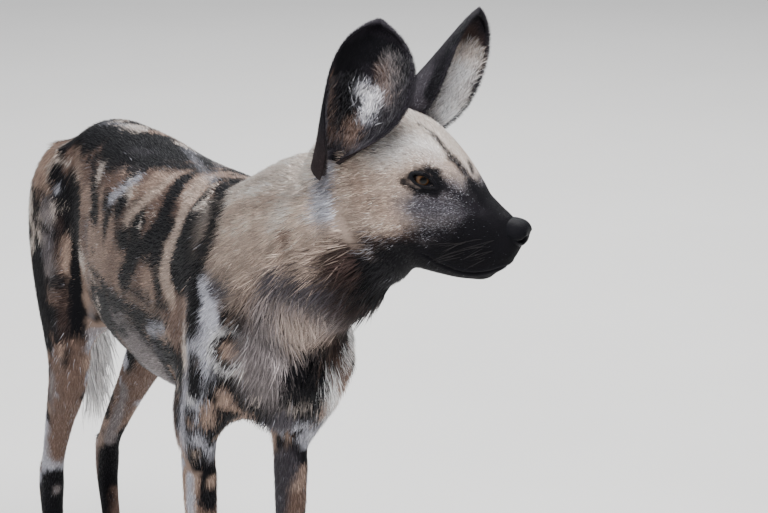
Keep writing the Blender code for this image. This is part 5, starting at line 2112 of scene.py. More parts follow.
@dataclass
class Layer:
    """One layer of the coat: where it grows, how thick it stands and how it is shaped."""

    name: str
    slot: str
    seed: int
    cover: float = 2.2
    width_share: float = 0.075
    width_least: float = 0.0005
    width_most: float = 0.0014
    lift: float = 0.14
    curl: float = 0.02
    stray: float = 0.16
    rings: int = 1
    droop: float = 0.0
    length_scale: float = 1.0
    # Painted shade at the tufts' roots and painted light at their tips.
    root_shade: float = 0.60
    tip_light: float = 1.20
    varied: float = 0.16
    mingle: float = 0.0022
    flecks: float = 0.04
    locks: float = 0.5
    lock_scale: float = 170.0
    sway: float = 0.16

    def grow(self, ground: Ground, share: np.ndarray, colours: CoatColours) -> None:
        """Grows the layer on the ground.

        Args:
            ground: the skin's triangles.
            share: how much of the layer stands on each triangle, from 0 to 1.
            colours: the coat's colours.
        """
        chance = np.random.default_rng(self.seed)
        chosen = share > 0.02
        part = ground.part(chosen)
        centres = part.corners.mean(axis=1)
        length = Zones(centres).length() * self.length_scale
        width = np.clip(length * self.width_share, self.width_least, self.width_most)
        density = self.cover / (0.5 * length * width) * share[chosen]
        places, outs = part.sample(density, chance)
        bare = self.bare(places)
        places, outs = places[~bare], outs[~bare]
        lies = LIE.at(places, outs)
        length = Zones(places).length() * self.length_scale
        turn = (self.sway * self.locks_at(places, lies, length, self.seed + 60))[:, None]
        lies = lies * np.cos(turn) + np.cross(outs, lies) * np.sin(turn)
        width = np.clip(length * self.width_share, self.width_least, self.width_most)
        calm = smoothstep(1.3, 4.0, np.minimum(EYES[0].openness(places), EYES[1].openness(places)))
        ahead = places + lies * (0.72 * length)[:, None]
        ahead += chance.normal(0, self.mingle, ahead.shape) * (0.15 + 0.85 * calm)[:, None]
        tones = colours.at(ahead)
        odd = chance.uniform(0, 1, len(places)) < self.flecks * calm * self.fleck_share(tones)
        tones[odd] = self.contrast(tones[odd], chance)
        tones *= np.exp(self.locks * self.locks_at(places, lies, length, self.seed + 80))[:, None]
        unwrap = Unwrap(places).at()
        style = TuftStyle(
            length,
            width,
            np.full(len(places), self.lift),
            np.full(len(places), self.curl),
            stray=self.stray,
            rings=self.rings,
            droop=self.droop,
            root_shade=self.root_shade,
            tip_light=self.tip_light,
            varied=self.varied,
        )
        self.lay(places, outs, lies, unwrap, style, tones, chance)

    def locks_at(self, places: np.ndarray, lies: np.ndarray, length: np.ndarray, seed: int) -> np.ndarray:
        """A cloud drawn out along the lie, so that neighbouring hairs share it as a lock.

        Args:
            places: the tufts' roots.
            lies: their lies.
            length: their lengths.
            seed: picks another cloud.

        Returns:
            One number a tuft, mostly between -1 and 1.
        """
        total = np.zeros(len(places))
        for share in (-1.5, -0.5, 0.5, 1.5):
            total += cloud(places + lies * (share * length)[:, None], self.lock_scale, seed)
        return 0.4 * total

    def fleck_share(self, tones: np.ndarray) -> np.ndarray:
        """How many odd hairs stand among hairs of the given colours, most among slate ones.

        Args:
            tones: the hairs' colours.

        Returns:
            A share for each hair.
        """
        bright = tones.mean(axis=1)
        slate = smoothstep(0.008, 0.040, bright) * (1 - smoothstep(0.18, 0.34, bright))
        return slate + 0.22 * smoothstep(0.18, 0.34, bright) + 0.01

    def contrast(self, tones: np.ndarray, chance: np.random.Generator) -> np.ndarray:
        """Paler colours for dark hairs and darker ones for pale hairs.

        Args:
            tones: the hairs' colours.
            chance: draws how far each one changes.

        Returns:
            The new colours.
        """
        share = chance.uniform(0.15, 0.75, len(tones))[:, None]
        dark = tones.mean(axis=1)[:, None] < 0.16
        other = np.where(dark, tone(Coat.SILVER), tone(Coat.UMBER))
        return tones + share * np.where(dark, 1.0, 0.8) * (other - tones)

    def bare(self, places: np.ndarray) -> np.ndarray:
        """Where nothing grows: on the eyes, the nose, the lips' edges and the soles.

        Args:
            places: places in the model.

        Returns:
            True where nothing grows.
        """
        found = places[:, 2] < 0.0015
        for eye in EYES:
            found |= eye.openness(places) < 1.30
        local = in_head(places)
        gap = abs(local[:, 2] - MOUTH.height_at(local[:, 1]))
        near = (local[:, 1] < 0.098) & (places[:, 1] < BEHIND_HEAD)
        found |= near & (gap < 0.0016)
        nose = (np.abs(local[:, 0]) < 0.0225) & (local[:, 2] > -0.0205)
        nose &= local[:, 1] < 0.026 - 0.010 * smoothstep(0.004, 0.014, local[:, 2])
        return found | (nose & near)

    def lay(
        self,
        places: np.ndarray,
        outs: np.ndarray,
        lies: np.ndarray,
        unwrap: np.ndarray,
        style: TuftStyle,
        tones: np.ndarray,
        chance: np.random.Generator,
    ) -> None:
        """Makes the layer's pieces, none of them too large.

        Args:
            places: the tufts' roots.
            outs: the normals there.
            lies: the lies there.
            unwrap: the roots' places on the unwrap.
            style: how the tufts are shaped.
            tones: a colour for each tuft.
            chance: gives the small differences.
        """
        most = TRIANGLES_MOST // (6 * self.rings - 2)
        pieces = 1 + (len(places) - 1) // most
        order = np.argsort(places[:, 0], kind="stable")
        for k, chosen in enumerate(np.array_split(order, pieces)):
            name = self.name if pieces == 1 else f"{self.name}_{k + 1}"
            roots = Roots(places[chosen], outs[chosen], lies[chosen], unwrap[chosen])
            made = tuft_mesh(name, roots, style.part(chosen), tones[chosen], chance)
            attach(made, "root")
            LOG.info("%s: %d tufts", name, len(chosen))


@dataclass
class TailBrush(Layer):
    """The long white hair of the tail."""

    longest: float = 0.078
    core: float = 0.0150

    def grow(self, ground: Ground, share: np.ndarray, colours: CoatColours) -> None:
        """Grows the brush on the tail's part of the ground.

        Args:
            ground: the skin's triangles.
            share: how much of the brush stands on each triangle, from 0 to 1.
            colours: the coat's colours.
        """
        chance = np.random.default_rng(self.seed)
        part = ground.part(share > 0.02)
        density = 70000.0 * share[share > 0.02]
        places, outs = part.sample(density, chance)
        z = places[:, 2]
        length = self.longest * (0.40 + 0.60 * (1 - smoothstep(0.41, 0.50, z)))
        lies = LIE.at(places, outs)
        tones = colours.at(places)
        unwrap = Unwrap(places).at()
        fullness = 1 - smoothstep(0.44, 0.51, z)
        style = TuftStyle(
            length,
            np.full(len(places), 0.0016),
            0.05 + 0.26 * fullness,
            np.full(len(places), 0.05),
            stray=0.16,
            rings=3,
            droop=0.06,
            root_shade=0.70,
            tip_light=1.08,
        )
        self.lay(places, outs, lies, unwrap, style, tones, chance)


@dataclass
class Eyeball:
    """An eye: amber iris, round pupil and a clear bulge over them."""

    place: EyePlace
    radius: float = HEAD_PLACE.eye_radius
    iris: float = 0.0074
    ahead: float = math.radians(6)

    def build(self) -> bpy.types.Object:
        """Makes the eyeball, looking out of its opening.

        Returns:
            The eyeball.
        """
        bm = bmesh.new()
        bmesh.ops.create_uvsphere(bm, u_segments=64, v_segments=48, radius=self.radius)
        bmesh.ops.rotate(bm, verts=bm.verts, matrix=Matrix.Rotation(math.pi / 2, 3, "X"))
        for vertex in bm.verts:
            away = math.hypot(vertex.co.x, vertex.co.z)
            if vertex.co.y < 0 and away < self.iris * 1.1:
                vertex.co *= 1 + 0.06 * math.cos(0.5 * math.pi * away / (1.1 * self.iris)) ** 1.2
        made = mesh_from(bm, f"eyeball_{self.place.side}")
        sign = SIDES[self.place.side]
        looks = Matrix.Rotation(-sign * self.ahead, 4, "Z")
        made.matrix_world = self.place.frame() @ looks
        smooth_faces(made.data)
        made.data.materials.append(self.material())
        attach(made, "root")
        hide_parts(f"eye_{self.place.side}")
        return made

    def material(self) -> bpy.types.Material:
        """The eye's material, made once: rings about the axis and fine rays.

        Returns:
            The material.
        """
        name = "wet_eye"
        if name in bpy.data.materials:
            return bpy.data.materials[name]
        made = bpy.data.materials.new(name)
        made.use_nodes = True
        nodes, links = made.node_tree.nodes, made.node_tree.links
        shader = nodes["Principled BSDF"]
        where = nodes.new("ShaderNodeTexCoord")
        flat = nodes.new("ShaderNodeVectorMath")
        flat.operation = "MULTIPLY"
        flat.inputs[1].default_value = (1, 0, 1)
        away = nodes.new("ShaderNodeVectorMath")
        away.operation = "LENGTH"
        way = nodes.new("ShaderNodeVectorMath")
        way.operation = "NORMALIZE"
        rays = nodes.new("ShaderNodeTexNoise")
        rays.inputs["Scale"].default_value = 14
        rays.inputs["Detail"].default_value = 3
        shifted = nodes.new("ShaderNodeMath")
        shifted.operation = "MULTIPLY_ADD"
        shifted.inputs[1].default_value = 0.0016
        rings = nodes.new("ShaderNodeMapRange")
        rings.inputs["From Max"].default_value = 0.010
        ramp_node = nodes.new("ShaderNodeValToRGB")
        stops = ramp_node.color_ramp
        stops.elements[0].position = 0.0
        stops.elements[0].color = (0.002, 0.002, 0.002, 1)
        stops.elements[1].position = 1.0
        stops.elements[1].color = (0.012, 0.008, 0.006, 1)
        for position, colour in (
            (0.40, (0.001, 0.001, 0.001)),
            (0.47, (0.022, 0.010, 0.004)),
            (0.60, (0.058, 0.029, 0.012)),
            (0.74, (0.032, 0.015, 0.006)),
            (0.84, (0.003, 0.002, 0.002)),
        ):
            stop = stops.elements.new(position)
            stop.color = (*colour, 1)
        links.new(where.outputs["Object"], flat.inputs[0])
        links.new(flat.outputs["Vector"], away.inputs[0])
        links.new(flat.outputs["Vector"], way.inputs[0])
        links.new(way.outputs["Vector"], rays.inputs["Vector"])
        links.new(rays.outputs["Fac"], shifted.inputs[0])
        links.new(away.outputs["Value"], shifted.inputs[2])
        links.new(shifted.outputs[0], rings.inputs["Value"])
        links.new(rings.outputs["Result"], ramp_node.inputs["Fac"])
        links.new(ramp_node.outputs["Color"], shader.inputs["Base Color"])
        shader.inputs["Roughness"].default_value = 0.20
        shader.inputs["Specular IOR Level"].default_value = 0.04
        shader.inputs["Coat Weight"].default_value = 0.28
        shader.inputs["Coat Roughness"].default_value = 0.03
        return made


@dataclass
class LidRim:
    """The bare black edge of the lids round an eye, from the skin down to the eyeball."""

    place: EyePlace
    steps: int = 72
    edge: tuple = (
        (1.42, -0.0004),
        (1.26, 0.0006),
        (1.12, 0.0013),
        (1.02, 0.0012),
        (0.93, 0.0),
        (0.85, 0.0),
    )

    def build(self, tree: BVHTree) -> bpy.types.Object:
        """Makes the rim on the skin.

        Args:
            tree: the skin's surface.

        Returns:
            The object.
        """
        frame = self.place.frame()
        rotation = frame.to_3x3()
        bm = bmesh.new()
        lines = []
        sign = SIDES[self.place.side]
        for k in range(self.steps):
            turn = 2 * math.pi * k / self.steps
            line = []
            corner = 1 + 0.30 * max(0.0, -math.cos(turn) * sign) ** 8
            heavy = 0.0014 * max(0.0, math.sin(turn))
            for scale, rise in self.edge:
                rise += heavy * (1.0 < scale < 1.3)
                across = self.place.half_length * scale * math.cos(turn) * corner
                over = self.place.half_height * scale * math.sin(turn)
                over *= 0.84 if math.sin(turn) > 0 and scale < 1.1 else 1.0
                over -= 0.0012 * (corner - 1) / 0.30
                if scale < 0.95:
                    size = HEAD_PLACE.eye_radius + (0.0007 if scale > 0.9 else -0.0006)
                    depth = math.sqrt(max(size**2 - across**2 - over**2, 1e-6))
                    line.append(bm.verts.new(frame @ Vector((across, -depth, over))))
                    continue
                start = frame @ Vector((across, -0.06, over))
                hit, out = tree.ray_cast(start, rotation @ Vector((0, 1, 0)))[:2]
                line.append(bm.verts.new(hit + out * rise))
            lines.append(line)
        for first, second in zip(lines, lines[1:] + lines[:1]):
            for a, b in zip(range(len(first) - 1), range(1, len(first))):
                bm.faces.new((first[a], first[b], second[b], second[a]))
        made = mesh_from(bm, f"lid_rim_{self.place.side}")
        return finished(made, BARE_FINISH, 0.8 * tone(Coat.BLACK))


@dataclass
class NosePad:
    """The bare, wet end of the nose, with its comma-shaped nostrils."""

    middle: tuple = (0, 0.0138, -0.0046)
    radii: tuple = (0.0196, 0.0150, 0.0140)
    colour: tuple = (0.0045, 0.0045, 0.006)

    def build(self) -> bpy.types.Object:
        """Makes the nose pad.

        Returns:
            The nose pad.
        """
        bm = bmesh.new()
        bmesh.ops.create_uvsphere(bm, u_segments=96, v_segments=64, radius=1)
        bmesh.ops.rotate(bm, verts=bm.verts, matrix=Matrix.Rotation(math.pi / 2, 3, "X"))
        radii = Vector(self.radii)
        for vertex in bm.verts:
            x, y, z = vertex.co.normalized()
            size = (abs(x) ** 2.6 + abs(y) ** 2.6 + abs(z) ** 2.6) ** (-1 / 2.6)
            narrow = 1 - 0.28 * max(0.0, -z)
            place = Vector((x * size * radii.x * narrow, y * size * radii.y, z * size * radii.z))
            if y < 0.2:
                place.y += self.hollow(place.x, place.z)
            vertex.co = HEAD @ (Vector(self.middle) + place)
        return finished(mesh_from(bm, "nose_pad"), NOSE_FINISH, np.array(self.colour))

    def hollow(self, x: float, z: float) -> float:
        """How far the pad's face is pushed in at a place: nostrils and the middle furrow.

        Args:
            x: how far from the pad's middle to its left.
            z: how far above its middle.

        Returns:
            The depth, below zero where the face stands out.
        """
        aside = abs(x)
        pit = math.exp(-(((aside - 0.0092) / 0.0034) ** 2 + ((z + 0.0020) / 0.0034) ** 2) ** 1.5)
        share = min(max((aside - 0.0092) / 0.0100, 0), 1)
        line = -0.0030 - 0.0028 * share + 0.003 * share**2
        slit = math.exp(-(((z - line) / 0.0015) ** 2)) * (0 < share < 1) * (1 - 0.4 * share)
        furrow = math.exp(-((x / 0.0008) ** 2)) * (z < 0.003) * 0.0010
        wing = 0.0014 * math.exp(-(((aside - 0.0130) / 0.005) ** 2 + ((z - 0.0042) / 0.0045) ** 2))
        return 0.0075 * pit + 0.0036 * slit * (pit < 0.9) + furrow - wing


@dataclass
class Ear:
    """One large round ear: its cup, its short coat and the long hair inside."""

    side: str
    length: float
    root: tuple
    outward: float
    tilt_out: float
    tilt_ahead: float
    half_arc: float = 0.064
    slant: float = 0.012
    wall: float = 0.0022
    across_steps: int = 40
    up_steps: int = 44

    @property
    def matrix(self) -> Matrix:
        """From the ear's own frame, which opens towards -Y, to the model.

        Returns:
            The matrix.
        """
        return (
            HEAD
            @ Matrix.Translation(self.root)
            @ Matrix.Rotation(self.tilt_out, 4, "Y")
            @ Matrix.Rotation(self.tilt_ahead, 4, "X")
            @ Matrix.Rotation(self.outward, 4, "Z")
        )

    def surface(self, u: np.ndarray, step: np.ndarray) -> np.ndarray:
        """Places on the cup's middle surface.

        Args:
            u: -1 to 1 from edge to edge.
            step: 0 to 1 from the root to the tip.

        Returns:
            Places in the model.
        """
        v = np.sin(0.5 * math.pi * step) ** 1.2
        round_top = np.sqrt(np.clip(1 - np.clip((v - 0.48) / 0.52, 0, None) ** 2.1, 0, None))
        swell = 0.55 + 0.45 * np.sin(math.pi * np.minimum(v / 0.50, 1) / 2)
        arc = self.half_arc * swell * np.maximum(round_top, 0.03)
        curl = math.radians(120) * (1 - v) ** 1.25 + math.radians(44)
        radius = arc / curl
        bend = u * curl
        sideways = radius * np.sin(bend)
        depth = radius * (1 - np.cos(bend))
        rise = v * self.length - self.slant * (1 - v) * SIDES[self.side] * u
        local = np.stack([sideways, 0.020 * v * v - depth, rise], axis=-1)
        rotation = np.array(self.matrix.to_3x3())
        return local @ rotation.T + np.array(self.matrix.translation)

    def out_at(self, u: np.ndarray, step: np.ndarray) -> np.ndarray:
        """The normals of the cup's outer side.

        Args:
            u: -1 to 1 from edge to edge.
            step: 0 to 1 from the root to the tip.

        Returns:
            Normals of length one.
        """
        small = 1e-3
        low = np.clip(step - small, 0.0, 1.0)
        high = np.clip(step + small, 0.0, 1.0)
        across = self.surface(u + small, step) - self.surface(u - small, step)
        up = self.surface(u, high) - self.surface(u, low)
        out = np.cross(up, across)
        return out / np.maximum(np.linalg.norm(out, axis=-1, keepdims=True), 1e-12)

    def build(self) -> bpy.types.Object:
        """Makes the ear's cup with its thin wall.

        Returns:
            The cup.
        """
        steps = np.linspace(0, 1, self.up_steps + 1)
        spread = np.linspace(-1, 1, self.across_steps + 1)
        u, step = np.meshgrid(spread, steps)
        middle = self.surface(u, 0.985 * step)
        out = self.out_at(u, 0.97 * step)
        thin = 0.5 * self.wall * (1 - 0.55 * np.abs(u) ** 6) * (1 - 0.8 * step**10)
        outer = middle + out * thin[..., None]
        inner = middle - out * thin[..., None]
        bm = bmesh.new()
        sheets = []
        for sheet in (outer, inner):
            sheets.append([[bm.verts.new(place) for place in line] for line in sheet])
        for sheet in sheets:
            for low, high in zip(sheet, sheet[1:]):
                for i in range(self.across_steps):
                    bm.faces.new((low[i], low[i + 1], high[i + 1], high[i]))
        for i in (0, self.across_steps):
            for j in range(self.up_steps):
                a, b = sheets[0][j][i], sheets[0][j + 1][i]
                c, d = sheets[1][j + 1][i], sheets[1][j][i]
                bm.faces.new((a, b, c, d))
        for j in (0, self.up_steps):
            for i in range(self.across_steps):
                a, b = sheets[0][j][i], sheets[0][j][i + 1]
                c, d = sheets[1][j][i + 1], sheets[1][j][i]
                bm.faces.new((a, b, c, d))
        made = mesh_from(bm, f"ear_cup_{self.side}")
        mesh = made.data
        smooth_faces(mesh)
        self.painter = Painter(BVHTree.FromObject(made, bpy.context.evaluated_depsgraph_get()))
        self.painter.lay(EAR_MARKS[self.side])
        places = places_of(mesh)
        count = outer.shape[0] * outer.shape[1]
        inside = np.arange(len(places)) >= count
        out_flat = np.concatenate([out.reshape(-1, 3), -out.reshape(-1, 3)])
        share = np.tile(step.ravel(), 2)
        set_colours(mesh, self.colours(places, out_flat, inside, share) * 0.8)
        self.unwrap_cup(mesh, u, step)
        mesh.materials.append(SKIN_FINISH.material())
        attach(made, "root")
        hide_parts(f"ear_{self.side}")
        return made

    def unwrap_cup(self, mesh: bpy.types.Mesh, u: np.ndarray, step: np.ndarray) -> None:
        """Unwraps the cup: its outer side on the left half of its chart, its inner on the right.

        Args:
            mesh: the cup.
            u: -1 to 1 from edge to edge.
            step: 0 to 1 from the root to the tip.
        """
        flat = self.chart(np.tile(u.ravel(), 2), np.tile(step.ravel(), 2), np.repeat([False, True], u.size))
        corners = np.empty(len(mesh.loops), dtype=np.int32)
        mesh.loops.foreach_get("vertex_index", corners)
        layer = mesh.uv_layers.new(name="OFBake")
        layer.data.foreach_set("uv", flat[corners].astype(np.float32).ravel())

    def chart(self, u: np.ndarray, step: np.ndarray, inside: np.ndarray) -> np.ndarray:
        """Places on the unwrap for places on the cup.

        Args:
            u: -1 to 1 from edge to edge.
            step: 0 to 1 from the root to the tip.
            inside: True on the inner side.

        Returns:
            Two numbers a row, from 0 to 1.
        """
        left, bottom, right, top = CHARTS[f"ear_{self.side}"]
        half = 0.5 * (right - left)
        x = left + 0.01 + (half - 0.02) * (0.5 + 0.5 * u) + np.where(inside, half, 0)
        return np.stack([x, bottom + (top - bottom) * step], axis=-1)

    def colours(
        self, places: np.ndarray, outs: np.ndarray, inside: np.ndarray, share: np.ndarray
    ) -> np.ndarray:
        """The ear's colours.

        Args:
            places: places on it.
            outs: the normals there.
            inside: True on the inner side.
            share: 0 to 1 from the root to the tip.

        Returns:
            A colour for each place.
        """
        base = np.tile(tone(Coat.SOOT), (len(places), 1))
        base = mixed(base, Coat.UMBER, 0.4 * (~inside) * (1 - smoothstep(0.15, 0.35, share)))
        base = mixed(base, Coat.ASH, inside * (1 - smoothstep(0.30, 0.60, share)) * 0.4)
        seen = np.sum(outs * np.array(VIEW.back), axis=1)
        painted = self.painter.paint(places, places, base)
        mask = smoothstep(-0.05, 0.05, seen)[:, None]
        return base + mask * (painted - base)

    def lay_coat(self, seed: int) -> None:
        """Lays the short coat outside and inside, the rim's fringe and the long hair.

        Args:
            seed: starts the random draws.
        """
        chance = np.random.default_rng(seed)
        self.lay_short(chance, inside=False, count=11000, length=0.0072)
        self.lay_short(chance, inside=True, count=9000, length=0.0066)
        self.lay_fringe(chance, 5500)
        self.lay_long(chance, 4200)

    def tufts(
        self,
        name: str,
        u: np.ndarray,
        step: np.ndarray,
        inside: bool,
        way: tuple,
        style: TuftStyle,
        chance: np.random.Generator,
        colours: np.ndarray = None,
    ) -> None:
        """Lays tufts on the ear at (u, step).

        Args:
            name: the piece's name.
            u: -1 to 1 from edge to edge.
            step: 0 to 1 from the root to the tip.
            inside: True on the inner side.
            way: how far the lie goes across and up.
            style: how the tufts are shaped.
            chance: gives the small differences.
            colours: their colours, or none to take the ear's own.
        """
        places = self.surface(u, step)
        outs = self.out_at(u, step) * (-1 if inside else 1)
        small = 2e-3
        across = self.surface(u + small, step) - self.surface(u - small, step)
        across /= np.linalg.norm(across, axis=1)[:, None]
        up = np.cross(across, outs)
        up *= np.sign(np.sum(up * np.array(self.matrix.to_3x3() @ Vector((0, 0, 1))), axis=1))[:, None]
        lies = across * way[0][:, None] + up * way[1][:, None]
        lies /= np.linalg.norm(lies, axis=1)[:, None]
        places = places + outs * (0.3 * self.wall)
        side = np.full(len(u), inside)
        if colours is None:
            colours = self.colours(places + lies * 0.004, outs, side, step)
        roots = Roots(places, outs, lies, self.chart(u, step, side))
        made = tuft_mesh(name, roots, style, colours, chance)
        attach(made, "root")

    def lay_short(self, chance: np.random.Generator, inside: bool, count: int, length: float) -> None:
        """Lays the short coat of one side of the ear.

        Args:
            chance: gives the small differences.
            inside: True on the inner side.
            count: how many tufts.
            length: how long they are.
        """
        u = chance.uniform(-0.99, 0.99, count)
        step = chance.uniform(0.04, 0.97, count)
        place = "inside" if inside else "outside"
        style = TuftStyle(
            np.full(count, length),
            np.full(count, 0.0009),
            np.full(count, 0.22),
            np.zeros(count),
            stray=0.3,
            # painted shade at the roots and painted light at the tips
            root_shade=0.45,
            tip_light=1.6,
            varied=0.45,
        )
        way = (0.35 * u, np.ones(count))
        self.tufts(f"ear_{place}_{self.side}", u, step, inside, way, style, chance)

    def lay_fringe(self, chance: np.random.Generator, count: int) -> None:
        """Lays the short hair that stands out along the rim.

        Args:
            chance: gives the small differences.
            count: how many tufts.
        """
        edge = chance.uniform(0, 1, count)
        on_top = edge > 0.62
        u = np.where(on_top, chance.uniform(-1, 1, count), np.where(edge < 0.31, -1.0, 1.0))
        u = np.clip(u * chance.uniform(0.97, 1.0, count), -0.995, 0.995)
        step = np.where(on_top, chance.uniform(0.93, 0.985, count), chance.uniform(0.06, 0.98, count))
        style = TuftStyle(
            np.full(count, 0.0064), np.full(count, 0.0006), np.full(count, 0.05), np.zeros(count), stray=0.35
        )
        way = (np.where(on_top, 0.8 * u, 1.0 * np.sign(u)), np.where(on_top, 1.0, 0.55))
        self.tufts(f"ear_rim_{self.side}", u, step, False, way, style, chance)

    def lay_long(self, chance: np.random.Generator, count: int) -> None:
        """Lays the long pale hair that springs from the edges and root of the cup.

        Args:
            chance: gives the small differences.
            count: how many tufts.
        """
        edge = chance.uniform(0, 1, count) < 0.5
        u = np.where(edge, chance.uniform(0.35, 0.93, count), chance.uniform(-0.9, 0.6, count))
        step = np.where(edge, chance.uniform(0.06, 0.66, count), chance.uniform(0.05, 0.46, count))
        length = 0.021 * chance.uniform(0.5, 1.1, count) * (1 - 0.5 * step)
        ahead = np.clip(step + 0.45 * length / self.length, 0, 0.97)
        places = self.surface(u, ahead)
        inwards = -self.out_at(u, ahead)
        places = places + chance.normal(0, 0.003, places.shape)
        colours = self.colours(places, inwards, np.full(count, True), step)
        pale = chance.uniform(0, 1, count)[:, None] ** 2.5
        share = pale * (0.05 if self.side == "right" else 0.6)
        colours = colours + share * (tone(Coat.WHITE) - colours)
        style = TuftStyle(
            length,
            np.full(count, 0.0008),
            np.full(count, 0.34),
            np.full(count, 0.12),
            stray=0.35,
            rings=2,
            root_shade=0.8,
            tip_light=1.15,
        )
        way = (np.where(edge, -0.65, -0.15 * u), np.ones(count))
        self.tufts(f"ear_hair_{self.side}", u, step, True, way, style, chance, colours)


EARS = (
    Ear("right", 0.152, (-0.053, 0.214, 0.030), math.radians(-55), math.radians(-5), math.radians(15)),
    Ear("left", 0.162, (0.048, 0.201, 0.046), math.radians(-14), math.radians(19), math.radians(35)),
)


@dataclass
class Claws:
    """The blunt black claws of all four paws."""

    colour: tuple = (0.022, 0.018, 0.016)

    def build(self) -> bpy.types.Object:
        """Makes the sixteen claws as one piece.

        Returns:
            The claws.
        """
        bm = bmesh.new()
        for leg in (*FORELEGS, *HIND_LEGS):
            x, y, scale = leg.paw_place()
            for toe, spread in leg.toes(x, y, scale):
                root = toe + Vector((0, -0.0160 * scale, 0.0022))
                ahead = Vector((-0.16 * spread, -1, -0.30)).normalized()
                rows = []
                for share, radius in ((0, 0.0030), (0.3, 0.0029), (0.6, 0.0023), (0.85, 0.0015), (1, 0.0006)):
                    centre = root + ahead * (share * leg.claw_length)
                    centre += Vector((0, 0, -0.0022 * share**2))
                    rows.append((*centre, 0.8 * radius, radius, radius))
                add_loft(bm, rows, squareness=2, steps=3, sides=16)
        made = mesh_from(bm, "claws")
        places = places_of(made.data)
        places[:, 2] = np.maximum(places[:, 2], FLOOR_GAP)
        place_vertices(made.data, places)
        return finished(made, CLAW_FINISH, np.array(self.colour))


@dataclass
class Whiskers:
    """The long black whiskers on the sides of the muzzle."""

    each: int = 22

    def build(self, tree: BVHTree) -> bpy.types.Object:
        """Makes the whiskers on the skin.

        Args:
            tree: the skin's surface.

        Returns:
            The object.
        """
        chance = np.random.default_rng(77)
        places, outs, lies, lengths = [], [], [], []
        rotation = HEAD.to_3x3()
        for sign in SIDES.values():
            for _ in range(self.each):
                y = 0.022 + 0.038 * chance.uniform()
                z = -0.010 - 0.026 * chance.uniform() + 0.2 * (0.03 - y)
                start = HEAD @ Vector((sign * 0.12, y, z))
                hit, out = tree.ray_cast(start, rotation @ Vector((-sign, 0, 0)))[:2]
                places.append(hit)
                outs.append(out)
                lies.append(rotation @ Vector((sign * 0.5, 0.85, -0.28)).normalized())
                lengths.append(0.020 + 0.022 * chance.uniform())
        places, outs, lies = (np.array(rows) for rows in (places, outs, lies))
        lies -= outs * np.sum(lies * outs, axis=1)[:, None]
        lies /= np.linalg.norm(lies, axis=1)[:, None]
        count = len(places)
        style = TuftStyle(
            np.array(lengths),
            np.full(count, 0.00045),
            np.full(count, 0.55),
            np.full(count, 0.05),
            stray=0.2,
            rings=3,
            droop=0.12,
            root_shade=1.0,
            tip_light=1.0,
        )
        colours = np.tile(np.array((0.015, 0.013, 0.013)), (count, 1))
        roots = Roots(places, outs, lies, Unwrap(places).at())
        made = tuft_mesh("whiskers", roots, style, colours, chance)
        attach(made, "root")
        return made


@dataclass
class Studio:
    """The pale floor and the soft lights."""

    def build(self) -> None:
        """Makes the floor, the lights and the even light all round."""
        bm = bmesh.new()
        bmesh.ops.create_grid(bm, x_segments=8, y_segments=8, size=9)
        floor = mesh_from(bm, "floor")
        made = bpy.data.materials.new("pale_floor")
        made.use_nodes = True
        nodes, links = made.node_tree.nodes, made.node_tree.links
        shader = nodes["Principled BSDF"]
        where = nodes.new("ShaderNodeTexCoord")
        noise = nodes.new("ShaderNodeTexNoise")
        noise.inputs["Scale"].default_value = 3
        shades = nodes.new("ShaderNodeValToRGB")
        shades.color_ramp.elements[0].color = (0.74, 0.73, 0.71, 1)
        shades.color_ramp.elements[1].color = (0.80, 0.79, 0.77, 1)
        links.new(where.outputs["Object"], noise.inputs["Vector"])
        links.new(noise.outputs["Fac"], shades.inputs["Fac"])
        links.new(shades.outputs["Color"], shader.inputs["Base Color"])
        shader.inputs["Roughness"].default_value = 0.7
        floor.data.materials.append(made)
        self.lamp("key", (-0.4, -1.8, 4.0), 2.2, 330)
        self.lamp("rim", (1.4, 2.4, 3.2), 2.0, 150)
        self.lamp("fill", (-3.0, -2.6, 1.6), 2.4, 40)
        world = bpy.data.worlds.new("even_light")
        world.use_nodes = True
        sky = world.node_tree.nodes["Background"]
        sky.inputs["Color"].default_value = (0.80, 0.83, 0.90, 1)
        sky.inputs["Strength"].default_value = 0.42
        bpy.context.scene.world = world

    def lamp(self, name: str, place: tuple, size: float, power: float) -> None:
        """Makes a soft square light that points at the dog.

        Args:
            name: the light's name.
            place: where it hangs.
            size: its side.
            power: its power in watts.
        """
        data = bpy.data.lights.new(name, "AREA")
        data.size = size
        data.energy = power
        lamp = bpy.data.objects.new(name, data)
        aim = Vector((0, 0, 0.45)) - Vector(place)
        lamp.matrix_world = Matrix.Translation(place) @ aim.to_track_quat("-Z", "Y").to_matrix().to_4x4()
        bpy.context.scene.collection.objects.link(lamp)
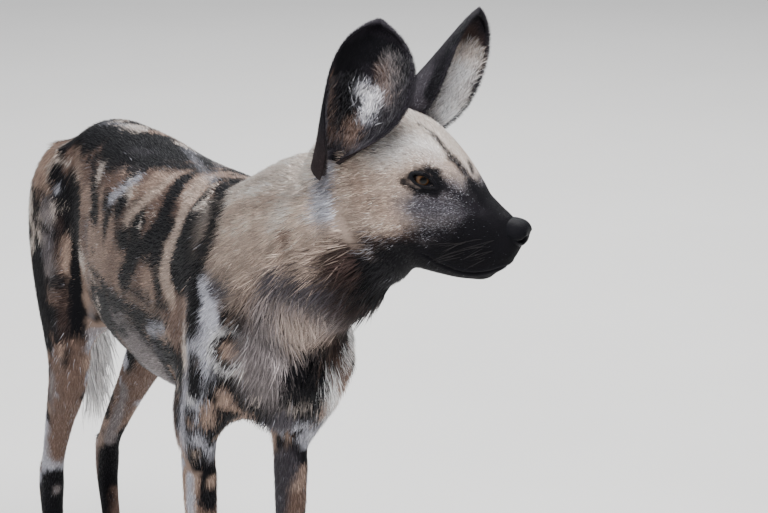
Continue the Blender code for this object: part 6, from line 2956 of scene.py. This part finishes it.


# Each layer's root and tip shares paint shade at the roots of its tufts and light at their tips.
LAYERS = (
    Layer(
        "face_coat", "face_coat", 11, cover=2.2, width_share=0.13, width_most=0.0011, lift=0.17,
        stray=0.22, varied=0.38, mingle=0.0030, root_shade=0.45, tip_light=1.35, flecks=0.50, locks=0.65,
        lock_scale=330.0,
    ),
    Layer(
        "body_coat", "body_coat", 12, cover=2.1, lift=0.14, stray=0.15, mingle=0.0038, varied=0.24,
    ),
    Layer(
        "fore_coat", "leg_coat", 13, cover=1.3, width_share=0.13, width_most=0.0014, mingle=0.0013,
        varied=0.22, lock_scale=260.0,
    ),
    Layer(
        "hind_coat", "leg_coat", 14, cover=1.45, width_share=0.13, width_most=0.0014, mingle=0.0015,
        varied=0.22, lock_scale=260.0,
    ),
    Layer(
        "neck_coat", "neck_coat", 15, cover=5.5, width_share=0.05, width_most=0.0012, lift=0.15,
        stray=0.15, root_shade=0.52, tip_light=1.36, varied=0.24, mingle=0.004, flecks=0.03, locks=0.75,
        lock_scale=110.0, sway=0.42,
    ),
    Layer(
        "ruff", "neck_coat", 16, cover=5.0, width_share=0.035, width_most=0.0011, lift=0.20, rings=2,
        stray=0.17, curl=0.10, droop=0.08, length_scale=1.12, root_shade=0.55, tip_light=1.2,
        varied=0.24, mingle=0.004, flecks=0.0, locks=0.8, lock_scale=100.0, sway=0.40,
    ),
)


def layer_shares(zones: Zones) -> dict:
    """How much of each layer stands at each place.

    Args:
        zones: the places.

    Returns:
        The layers' shares by name.
    """
    y = zones.plain[:, 1]
    leg = zones.leg > 0.5
    tail = zones.tail > 0.5
    head = (zones.head > 0.5) & ~tail
    neck = (zones.neck > 0.5) & ~head & ~leg & ~tail
    throat = neck * smoothstep(0.15, 0.65, zones.throat)
    rest = ~(head | neck | leg | tail)
    low = zones.plain[:, 2] < 0.505
    return {
        "face_coat": head,
        "body_coat": rest | (tail & ~low),
        "fore_coat": leg & (y < 0.25) & ~tail,
        "hind_coat": leg & (y >= 0.25) & ~tail,
        "neck_coat": neck * (1 - throat),
        "ruff": throat,
        "tail_brush": tail & low,
    }


def main() -> None:
    """Builds the stage, the skin, the coat and the head's own pieces in order."""
    logging.basicConfig(level=logging.INFO, format="%(relativeCreated)d %(message)s")
    VIEW.build()
    Studio().build()
    skin = Skin().build()
    LOG.info("skin: %d vertices", len(skin.data.vertices))
    tree = BVHTree.FromObject(skin, bpy.context.evaluated_depsgraph_get())
    painter = Painter(tree)
    painter.lay(BODY_MARKS)
    painter.lay(FACE_MARKS)
    painter.lay(LINE_MARKS, own=True)
    painter.lay(CHEST_MARKS, own=True)
    painter.lay(HIND_LEFT_MARKS, own=True)
    colours = CoatColours(painter)
    Skin().dress(skin, colours)
    LOG.info("skin dressed")
    ground = Ground.of(skin)
    shares = layer_shares(Zones(ground.corners.mean(axis=1)))
    for layer in LAYERS:
        layer.grow(ground, shares[layer.name].astype(float), colours)
    TailBrush("tail_brush", "tail_brush", 17).grow(ground, shares["tail_brush"].astype(float), colours)
    for place in EYES:
        Eyeball(place).build()
        LidRim(place).build(tree)
    NosePad().build()
    for k, ear in enumerate(EARS):
        ear.build()
        ear.lay_coat(30 + k)
    Claws().build()
    Whiskers().build(tree)
    LOG.info("all pieces made")


if __name__ == "__main__":
    main()
